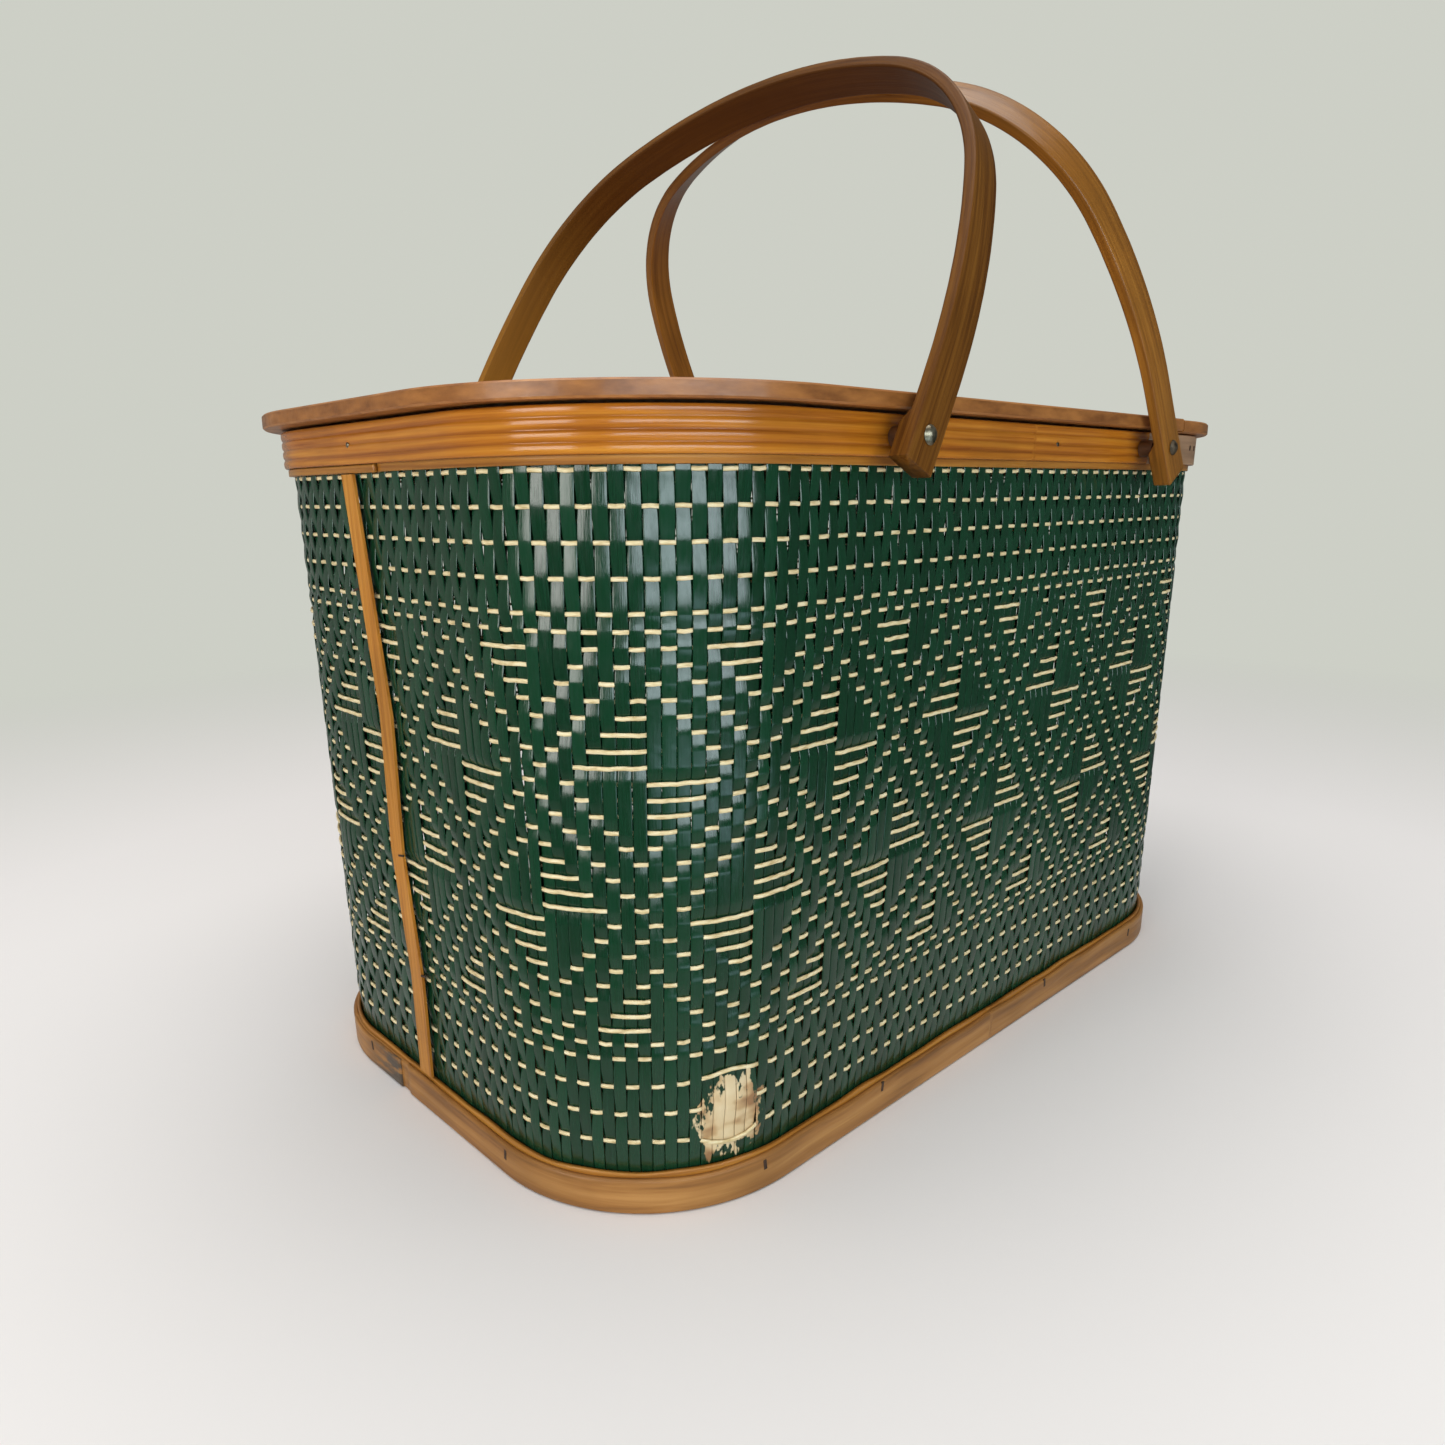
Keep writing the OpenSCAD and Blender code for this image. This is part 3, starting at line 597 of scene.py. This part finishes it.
# ---------------------------------------------------------------- strands
# The strand's middle lies on the splint where it crosses over and behind it where it goes under
STRAND_H, STRAND_T = 1.75 * MM, 1.25 * MM
CLEAR = 0.05 * MM  # between strand and splint
FLOAT_RISE = 0.3 * MM  # a float of two splints or more stands further out
FLOAT_BELLY = 0.12 * MM
crossing = np.where(over, DENT + STRAND_T / 2 + CLEAR, RISE - SPLINT_T - STRAND_T / 2 - CLEAR)
longer = over & (np.roll(over, 1, 1) | np.roll(over, -1, 1))
crossing = crossing + np.where(longer, FLOAT_RISE, 0)
next_crossing = np.roll(crossing, -1, 1)
both_over = over & np.roll(over, -1, 1)
middle = (crossing + next_crossing) / 2 + np.where(both_over, FLOAT_BELLY, 0)
u_cross = splint_u(columns[None, :], ROW_Z[:, None])
u_next = splint_u(columns[None, :] + 1, ROW_Z[:, None])
u_path = np.stack([u_cross, (u_cross + u_next) / 2], 2).reshape(ROWS, -1)
out_path = np.stack([crossing, middle], 2).reshape(ROWS, -1)
z_path = ROW_Z[:, None] + rng.normal(0, 0.10 * MM, u_path.shape)
# At the worn place one loose strand hangs down and the other is pushed up
bulge = np.exp(-((wrapped(u_path) - WORN_U) / (0.8 * WORN_HALF[0])) ** 2)
z_path[-1] -= 4.5 * MM * bulge[-1]
z_path[-3] += 3.0 * MM * bulge[-3]
CORNERS = 6
sections, wall_at = [], []
for k in range(CORNERS):
    turn = math.tau * k / CORNERS
    z = z_path + math.sin(turn) * STRAND_H / 2
    sections.append(on_wall(u_path, z, out_path + math.cos(turn) * STRAND_T / 2))
    wall_at.append(np.stack([wrapped(u_path), z, out_path], -1))
verts, faces = skin(np.stack(sections, 2), closed_path=True)
strands = add_mesh("woven_strands", verts, faces, strand_straw,
                   attributes={"wall": np.stack(wall_at, 2).reshape(-1, 3)})
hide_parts(*[n for n in frame["nodes"] if n.startswith(("weft", "floats"))])


# ---------------------------------------------------------------- bands
ROUND_STATIONS = 520  # of a band that goes right round
LAP_STEP = 2 * MM  # between the stations of a lap


def wobble(u, count, size, seed):
    """A smooth random curve round the girth."""
    r = np.random.default_rng(seed)
    out = np.zeros_like(u)
    for k in range(1, count + 1):
        out += r.normal(0, 1 / math.sqrt(k)) * np.sin(math.tau * k * u / GIRTH + r.uniform(0, math.tau))
    return size * out / 2


def band(name, profile, material, replaced=None, lap=None, lift=None, push=None):
    """A strip round the wall, or between a lap's two ends. profile lists (height, offset out) in mm;
    lift and push move its points up and out, as functions of the girth place and the profile."""
    if lap:
        u = np.linspace(*lap, int((lap[1] - lap[0]) / LAP_STEP))
    else:
        u = np.linspace(0, GIRTH, ROUND_STATIONS, endpoint=False)
    points = np.array(profile) * MM
    around = np.broadcast_to(u[:, None], (len(u), len(points)))
    z = np.broadcast_to(points[:, 0], around.shape).copy()
    out = np.broadcast_to(points[:, 1], around.shape).copy()
    at = wrapped(u)[:, None]
    if lift:
        z += lift(at, points)
    if push:
        out += push(at, points)
    run = np.cumsum(np.r_[0, np.linalg.norm(np.diff(points, axis=0), axis=1)])
    strip = np.stack([around, np.broadcast_to(run, around.shape), out], -1).reshape(-1, 3)
    verts, faces = skin(on_wall(around, z, out)[None], closed_path=not lap)
    obj = add_mesh(name, verts, faces, material, attributes={"strip": strip})
    if replaced:
        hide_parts(replaced)


def rounded(low, high, back, face, corner, steps=3):
    """A strip's section as (height, offset out): square at the back, rounded in front."""
    section = [(low, back), (low, face - corner)]
    for k in range(1, steps + 1):
        a = math.pi / 2 * k / steps
        section.append((low + corner * (1 - math.cos(a)), face - corner + corner * math.sin(a)))
    for k in range(1, 6):
        section.append((low + corner + k / 6 * (high - low - 2 * corner), face))
    for k in range(steps):
        a = math.pi / 2 * k / steps
        section.append((high - corner + corner * math.sin(a), face - corner + corner * math.cos(a)))
    return section + [(high, face - corner), (high, back)]


def reeded(low, high, beads=4, steps=9, back=1.4, face=3.95, depth=1.1):
    """Beads of a rounded band, each a shallow arch in front."""
    section = [(low, back)]
    pitch = (high - low) / beads
    for bead in range(beads):
        for k in range(steps):
            t = (k + 0.5) / steps
            arch = (1 - abs(2 * t - 1) ** 2.6) ** 0.5
            section.append((low + (bead + t) * pitch, face - depth + depth * arch))
    return section + [(high, back)]


def uneven_top(count, size, seed):
    """A lift for band: its upper half dips and rises a little."""
    return lambda u, p: (wobble(u, count, size, seed) - 2 * size) * (p[:, 0] > p[:, 0].mean())


def strip_dent(u, p):
    """The rim strip's face is pressed in where its lap ends."""
    return np.where(np.abs(u - STRIP_LAP[1]) < 1.2 * MM, -0.5 * MM, 0) * (p[:, 1] > 0.5 * MM)


def strip_foot(u, p):
    """The rim strip's foot lies a little higher from its lap's end onwards."""
    return np.where(u < STRIP_LAP[1], 0.0, 0.25 * MM) * (p[:, 0] < p[:, 0].mean())


def room_for_lap(u, p):
    """The bottom band's face lies back where the lap covers it, and a little beyond."""
    covered = (u > FOOT_LAP[0]) & (u < FOOT_LAP[1] + 8 * MM)
    return -np.where(covered, 0.9, 0.0) * MM * (p[:, 1] > 2.5 * MM)


# Where the laps begin and end along the girth
REED_LAP, STRIP_LAP, FOOT_LAP = (111 * MM, 245 * MM), (-430 * MM, -333 * MM), (-424 * MM, -368 * MM)
rim_foot, rim_top, strip_top, band_top = (z / MM for z in (RIM_FOOT, RIM_TOP, STRIP_TOP, BAND_TOP))
reed_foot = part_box("rim_reeded_band")[0].z / MM

band("reeded_band", reeded(reed_foot + 0.05, rim_top - 0.05), band_wood, "rim_reeded_band")
band("reeded_band_lap", rounded(reed_foot + 0.3, rim_top - 0.4, 3.0, 4.0, 0.5), pale_wood, lap=REED_LAP)
band("rim_strip_dressed", rounded(rim_foot + 0.1, rim_top - 0.3, 0.15, 1.28, 0.4), strip_wood,
     "rim_strip", lift=strip_foot, push=strip_dent)
band("rim_strip_lap", rounded(rim_foot + 0.1, rim_foot + 3.1, 1.2, 2.5, 0.5), strip_wood, lap=STRIP_LAP)
band("inner_strip_dressed", rounded(0.1, strip_top - 0.1, 0.15, 1.68, 0.5), strip_wood,
     "bottom_inner_strip", lift=uneven_top(60, 0.45 * MM, 5))
band("bottom_band_lap", rounded(0.4, band_top - 1.2, 2.6, 3.8, 0.8), foot_wood, lap=FOOT_LAP)
band("bottom_band_dressed", rounded(0.1, band_top - 0.1, 1.85, 3.78, 1.1), foot_wood,
     "bottom_band", lift=uneven_top(40, 0.4 * MM, 3), push=room_for_lap)

# ---------------------------------------------------------------- handles
# The same arch as the solids': straight foot and leg, long curve, shoulder, crown
ARCH_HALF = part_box("handle_near")[1].y
STRAP_W, STRAP_T, STRAP_BEVEL = 17.4 * MM, 5.2 * MM, 0.9 * MM
LEG, LEG_STEP, CROWN_STEP = 23.4 * MM, 200 * MM, 150 * MM
FAR_LEG = LEG + 8.6 * MM
NEAR_DROP, FAR_DROP = 12.5 * MM, 16 * MM  # from the rivets down to the feet's ends
LEG_WAY = np.array([0.96, 0.28])  # cosine and sine of the angle at which the leg's curve ends
SHOULDER_WAY = np.array([0.352, 0.936])  # the same for the shoulder
LEG_DEG, SHOULDER_DEG = (math.degrees(math.atan2(y, x)) for x, y in (LEG_WAY, SHOULDER_WAY))
SHOULDER_R = ARCH_HALF - CROWN_STEP * SHOULDER_WAY[0] - LEG_STEP * (1 - LEG_WAY[0])
PAD_T, PAD_H = 3.5 * MM, 6.5 * MM
PAD_SLOPE = 1.5 * PAD_T  # the pad's thickness runs out over this height
ARCH_STEP = 3.5 * MM  # between the stations of the curves
WEAR, WEAR_WAVES = 0.015 * MM, 31  # ripples that wear has left: depth, and radians for each metre


def arch_path(leg, drop):
    """Points of the outer face's middle line, and the outward direction there, foot to foot."""
    leg_centre = np.array([ARCH_HALF - SHOULDER_R - LEG_STEP, leg])
    shoulder_centre = leg_centre + LEG_STEP * LEG_WAY
    crown_centre = shoulder_centre - CROWN_STEP * SHOULDER_WAY
    crown_r = SHOULDER_R + CROWN_STEP
    runs = [
        (leg_centre, SHOULDER_R + LEG_STEP, 0, LEG_DEG),
        (shoulder_centre, SHOULDER_R, LEG_DEG, SHOULDER_DEG),
        (crown_centre, crown_r, SHOULDER_DEG, 90),
    ]
    foot = [-drop, -drop + 0.6 * MM, -drop + 3 * MM, PAD_H - PAD_SLOPE, PAD_H, PAD_H + 0.8 * MM]
    heights = foot + list(np.linspace(PAD_H + 3 * MM, leg, 6)[:-1])
    points = [(ARCH_HALF, y) for y in heights]
    outward = [(1, 0)] * len(heights)
    for c, r, a0, a1 in runs:
        count = int(r * math.radians(a1 - a0) / ARCH_STEP)
        for a in np.radians(np.linspace(a0, a1, count + 1)[:-1]):
            points.append((c[0] + r * math.cos(a), c[1] + r * math.sin(a)))
            outward.append((math.cos(a), math.sin(a)))
    points, outward = np.array(points), np.array(outward)
    top = np.array([[0, crown_centre[1] + crown_r]])
    mirror = np.array([-1, 1])
    return (np.concatenate([points, top, points[::-1] * mirror]),
            np.concatenate([outward, [[0, 1]], outward[::-1] * mirror]))


def strap_section():
    """The strap's rounded section: (across, 1 on the inner face, inset), with bevelled corners."""
    h, b = STRAP_W / 2, STRAP_BEVEL
    corner = [(b, 0.0), (0.55 * b, 0.03 * b), (0.27 * b, 0.27 * b), (0.03 * b, 0.55 * b), (0.0, b)]
    section = []
    for side, inner in ((1, 0), (1, 1), (-1, 1), (-1, 0)):
        order = corner if (side > 0) != bool(inner) else corner[::-1]
        section += [(side * (h - across), inner, inset) for across, inset in order]
    return section


def strap_shape(path, outward, seed):
    """The strap upright, as (across, along the arch, up) points, and its strip attribute."""
    section = strap_section()
    run = np.cumsum(np.r_[0, np.linalg.norm(np.diff(path, axis=0), axis=1)])
    on_side = np.abs(path[:, 0]) > ARCH_HALF - 0.01 * MM
    pad = np.where(on_side, np.clip((PAD_H - path[:, 1]) / PAD_SLOPE, 0, 1), 0) * PAD_T
    r = np.random.default_rng(seed)
    worn = np.zeros(len(run))
    for k in range(1, 9):
        worn += WEAR * np.abs(np.sin(k * run * WEAR_WAVES + r.uniform(0, 6)))
    points = np.zeros((len(run), len(section), 3))
    strip = np.zeros_like(points)
    for i, (across, inner, inset) in enumerate(section):
        depth = STRAP_T + pad - inset - worn if inner else inset + worn
        p = path - outward * depth[:, None]
        points[:, i] = np.stack([across - math.copysign(1, across) * worn, p[:, 0], p[:, 1]], 1)
        strip[:, i] = np.stack([run - run[-1] / 2, np.full(len(run), across), depth], 1)
    return points, strip


def strap(name, leg, drop, body, material, seed):
    """A bent strap with thick feet, placed on its solid."""
    path, outward = arch_path(leg, drop)
    points, strip = strap_shape(path, outward, seed)
    joint = next(j for j in frame["record"]["behaviour"]["joints"] if j["child"] == body)
    pivot = joint["pos_m"]
    # the lean that brings the strap's top corner to the top of its box
    reach, half = path[:, 1].max(), STRAP_W / 2
    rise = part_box(name)[1].z - pivot[2]
    lean_by = math.atan2(half, reach) + math.acos(rise / math.hypot(reach, half))
    lean_by = math.copysign(lean_by, -pivot[0])
    across, y, up = points[..., 0], points[..., 1], points[..., 2]
    x = across * math.cos(lean_by) + up * math.sin(lean_by) + pivot[0]
    z = up * math.cos(lean_by) - across * math.sin(lean_by) + pivot[2]
    verts, faces = skin(np.stack([x, y, z], -1)[None])
    obj = add_mesh(name + "_strap", verts, faces, material, body,
                   attributes={"strip": strip.reshape(-1, 3)})
    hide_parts(name)


strap("handle_near", LEG, NEAR_DROP, "near_handle", near_handle_wood, 21)
strap("handle_far", FAR_LEG, FAR_DROP, "far_handle", far_handle_wood, 22)


# ---------------------------------------------------------------- nails, staples and screws
def small_box(name, u, z, out, size, turn=0.0):
    """A little rusty box on the wall, turned about its outward direction. All in mm; size is its
    width, height and depth."""
    width, height, depth = size
    corners = []
    for o in (-depth, 0):
        for a, b in ((-1, -1), (1, -1), (1, 1), (-1, 1)):
            x, y = a * width / 2, b * height / 2
            across = u + x * math.cos(turn) - y * math.sin(turn)
            up = z + x * math.sin(turn) + y * math.cos(turn)
            corners.append(tuple(on_wall(across * MM, up * MM, (out + o) * MM)))
    faces = [(0, 3, 2, 1), (4, 5, 6, 7), (0, 1, 5, 4), (1, 2, 6, 5), (2, 3, 7, 6), (3, 0, 4, 7)]
    obj = add_mesh(name, corners, faces, rust)
    obj.data.polygons.foreach_set("use_smooth", [False] * len(faces))


def disc(name, centre, normal, radius, height, material, body="hamper"):
    """A low domed head. Its radius and height are in mm."""
    centre, normal = Vector(centre), Vector(normal).normalized()
    side = normal.orthogonal().normalized()
    other = normal.cross(side)
    count, verts = 12, []
    for r, h in ((1.0, 0.0), (0.96, 0.45), (0.75, 0.8), (0.4, 0.97)):
        for k in range(count):
            a = math.tau * k / count
            way = math.cos(a) * side + math.sin(a) * other
            verts.append(tuple(centre + radius * MM * r * way + h * height * MM * normal))
    verts.append(tuple(centre + height * MM * normal))
    faces = []
    for low in range(0, 3 * count, count):
        high = low + count
        faces += [(low + k, low + (k + 1) % count, high + (k + 1) % count, high + k) for k in range(count)]
    faces += [(3 * count + k, 3 * count + (k + 1) % count, 4 * count) for k in range(count)]
    add_mesh(name, verts, faces, material, body)


def wall_normal(u, z):
    """The wall's outward direction."""
    return tuple(on_wall(u, z, 0.01) - on_wall(u, z, 0))


# Girth places and heights, in mm
BAND_STAPLES = [(-396, 10.6), (-278, 10), (-164, 11), (-90, 13), (51, 12.5),
                (150, 10), (330, 11), (480, 10), (610, 12)]
LAP_STAPLES = [(163, 291.5), (172, 291.5)]
SEAM_STAPLES = [(-360, 233), (-345, 121), (-336, 68)]
RIM_NAILS, RIM_NAIL_Z, RIM_NAIL_OUT = [19, -351, 330, 470, 600], 290, 3.7
# Places on the lid, in mm
LID_NAILS = [(-236, 0), (-225, 62), (-225, -62), (-160, 136), (-160, -136),
             (-40, 146), (-40, -146), (60, 146), (60, -146)]
HINGE_Y = (-88, 88)
SCREW_FROM_EDGE, SCREW_FROM_MIDDLE, LEAF_T = 5.5, 12, 1.0

for k, (u, z) in enumerate(BAND_STAPLES):
    small_box(f"band_staple_{k}", u, z, out=3.92, size=(1.5, 4.4, 0.6), turn=0.12 * (-1) ** k)
for k, (u, z) in enumerate(LAP_STAPLES):
    small_box(f"lap_staple_{k}", u, z, out=4.2, size=(1.8, 2.6, 0.4))
for k, (u, z) in enumerate(SEAM_STAPLES):
    small_box(f"seam_staple_{k}", u, z, out=3.0, size=(4.5, 0.9, 0.5), turn=0.2)
for k, u in enumerate(RIM_NAILS):
    head = on_wall(u * MM, RIM_NAIL_Z * MM, RIM_NAIL_OUT * MM)
    disc(f"rim_nail_{k}", head, wall_normal(u * MM, RIM_NAIL_Z * MM), 1.1, 0.4, rivet_metal)

for side, body, edge, way in (("board", "hamper", 0, 1), ("flap", "flap", 1, -1)):
    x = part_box("hinge_leaves_" + side)[edge].x + way * SCREW_FROM_EDGE * MM
    leaf_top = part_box("lid_" + side)[1].z + LEAF_T * MM
    for y in HINGE_Y:
        for k in (-1, 1):
            place = (x, (y + SCREW_FROM_MIDDLE * k) * MM, leaf_top)
            disc(f"hinge_screw_{side}_{y}_{k}", place, (0, 0, 1), 2.0, 0.5, brass, body)
board_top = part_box("lid_board")[1].z
for k, (x, y) in enumerate(LID_NAILS):
    disc(f"lid_nail_{k}", (x * MM, y * MM, board_top), (0, 0, 1), 1.5, 0.25, rivet_metal)

# ---------------------------------------------------------------- floor
FLOOR_HALF = 6
FLOOR_COLOUR, WALL_COLOUR = (0.84, 0.815, 0.815), (0.61, 0.625, 0.565)
ROOM_FRONT, ROOM_BACK = (0.06, 0.07, 0.07), (0.25, 0.257, 0.236)
SOFT_LIGHT = (0.15, 0.16, 0.16)
# A painted glare: a patch of floor in front of the hamper glows, standing in for window light on the
# table, and only reflections see it
GLARE_AT, GLARE_HALF, GLARE_COLOUR = (-0.25, -0.60, 0), (0.36, 0.14), (1.35, 1.85, 2.15)
# How far from the middle the floor begins to go over into the room, and where it has
SEEN_FADE, GLOSSY_FADE = (0.55, 1.35), (0.08, 0.50)


def room_tone(tree, direction):
    """The room as reflections see it: pale behind the hamper, dark on its front side."""
    facing = vector_node(tree, "DOT_PRODUCT", direction, (0, 1, 0)).outputs["Value"]
    return ramp(tree, value_ramp(tree, facing, 0, 1, 0.05, 0.7), [(0.0, ROOM_FRONT), (1.0, ROOM_BACK)])


def seen_rays(tree, rays):
    """1 for rays that the camera sees straight or through glass."""
    return math_node(tree, "MAXIMUM", rays["Is Camera Ray"], rays["Is Transmission Ray"])


def floor_material():
    """Near white round the hamper. Further out the eye sees it go over into the wall's tone, and
    reflections see the room."""
    mat, tree, shader = new_material("floor")
    feed(tree, shader, {"Base Color": FLOOR_COLOUR, "Roughness": 0.7, "Specular IOR Level": 0.3})
    where = add_node(tree, "TexCoord").outputs["Object"]
    distance = vector_node(tree, "LENGTH", where).outputs["Value"]
    way = vector_node(tree, "NORMALIZE", where).outputs["Vector"]
    rays = add_node(tree, "LightPath").outputs
    glossy = rays["Is Glossy Ray"]
    tone = mix(tree, glossy, WALL_COLOUR, room_tone(tree, way))
    # painted glare: a patch that glows for reflections only
    scale = (1 / GLARE_HALF[0], 1 / GLARE_HALF[1], 0)
    glare = value_ramp(tree, distance_from(tree, where, GLARE_AT, scale), 1, 0, 0.5, 1.1)
    tone = mix(tree, math_node(tree, "MULTIPLY", glare, glossy), tone, GLARE_COLOUR)
    far = []
    for ray, fade in ((seen_rays(tree, rays), SEEN_FADE), (glossy, GLOSSY_FADE)):
        far.append(math_node(tree, "MULTIPLY", ray, value_ramp(tree, distance, 0, 1, *fade)))
    glow = add_node(tree, "Emission", {"Color": tone}).outputs["Emission"]
    shaders = {"Fac": math_node(tree, "MAXIMUM", *far), 1: shader.outputs["BSDF"], 2: glow}
    both = add_node(tree, "MixShader", shaders).outputs["Shader"]
    feed(tree, tree.nodes["Material Output"], {"Surface": both})
    return mat


bm = bmesh.new()
bmesh.ops.create_grid(bm, x_segments=1, y_segments=1, size=FLOOR_HALF)
floor_mesh = bpy.data.meshes.new("floor")
bm.to_mesh(floor_mesh)
bm.free()
floor = bpy.data.objects.new("floor", floor_mesh)
bpy.context.scene.collection.objects.link(floor)
floor_mesh.materials.append(floor_material())


# ---------------------------------------------------------------- light
LAMPS_AIM = Vector((0, 0, 0.2))  # the hamper's middle


def area_light(name, location, size, power, colour):
    """A rectangular lamp that looks at the hamper's middle."""
    data = bpy.data.lights.new(name, "AREA")
    data.shape = "RECTANGLE"
    data.size, data.size_y = size
    data.energy, data.color = power, colour
    obj = bpy.data.objects.new(name, data)
    obj.location = location
    way = LAMPS_AIM - Vector(location)
    obj.rotation_euler = way.to_track_quat("-Z", "Y").to_euler()
    obj.visible_camera = False
    bpy.context.scene.collection.objects.link(obj)


area_light("window", (-0.93, -2.46, 0.62), (3.3, 0.66), 41, (0.80, 0.93, 1.0))
area_light("doorway", (-2.58, -0.26, 0.74), (1.3, 1.0), 25, (1.0, 0.98, 0.94))
area_light("ceiling", (-0.1, 0.0, 2.4), (2.4, 2.4), 54, (1.0, 0.97, 0.93))

world = bpy.data.worlds.new("room")
bpy.context.scene.world = world
world.use_nodes = True
tree = world.node_tree
rays = add_node(tree, "LightPath").outputs
room = room_tone(tree, add_node(tree, "TexCoord").outputs["Generated"])
soft = mix(tree, rays["Is Diffuse Ray"], room, SOFT_LIGHT)
background = mix(tree, seen_rays(tree, rays), soft, WALL_COLOUR)
feed(tree, tree.nodes["Background"], {"Color": background, "Strength": 1.0})

# ---------------------------------------------------------------- camera
# It stands at the front left corner, about a third of a metre away and a little below the rim
CAMERA_AT = Vector((-0.4228, -0.3885, 0.2699))
YAW, PITCH_UP, ROLL = 0.807, -0.219, -0.011
SENSOR, LENS = 36, 25.607  # in mm

level = math.cos(PITCH_UP)
forward = Vector((math.cos(YAW) * level, math.sin(YAW) * level, math.sin(PITCH_UP)))
flat_right = forward.cross(Vector((0, 0, 1))).normalized()
flat_up = flat_right.cross(forward)
right = math.cos(ROLL) * flat_right + math.sin(ROLL) * flat_up
up = math.cos(ROLL) * flat_up - math.sin(ROLL) * flat_right
camera_data = bpy.data.cameras.new("camera")
camera_data.sensor_width = SENSOR
camera_data.lens = LENS
camera_data.clip_start = 0.01
camera = bpy.data.objects.new("camera", camera_data)
camera.matrix_world = Matrix((
    (right.x, up.x, -forward.x, CAMERA_AT.x),
    (right.y, up.y, -forward.y, CAMERA_AT.y),
    (right.z, up.z, -forward.z, CAMERA_AT.z),
    (0, 0, 0, 1),
))
bpy.context.scene.collection.objects.link(camera)
bpy.context.scene.camera = camera
bpy.context.scene.view_settings.view_transform = "Standard"
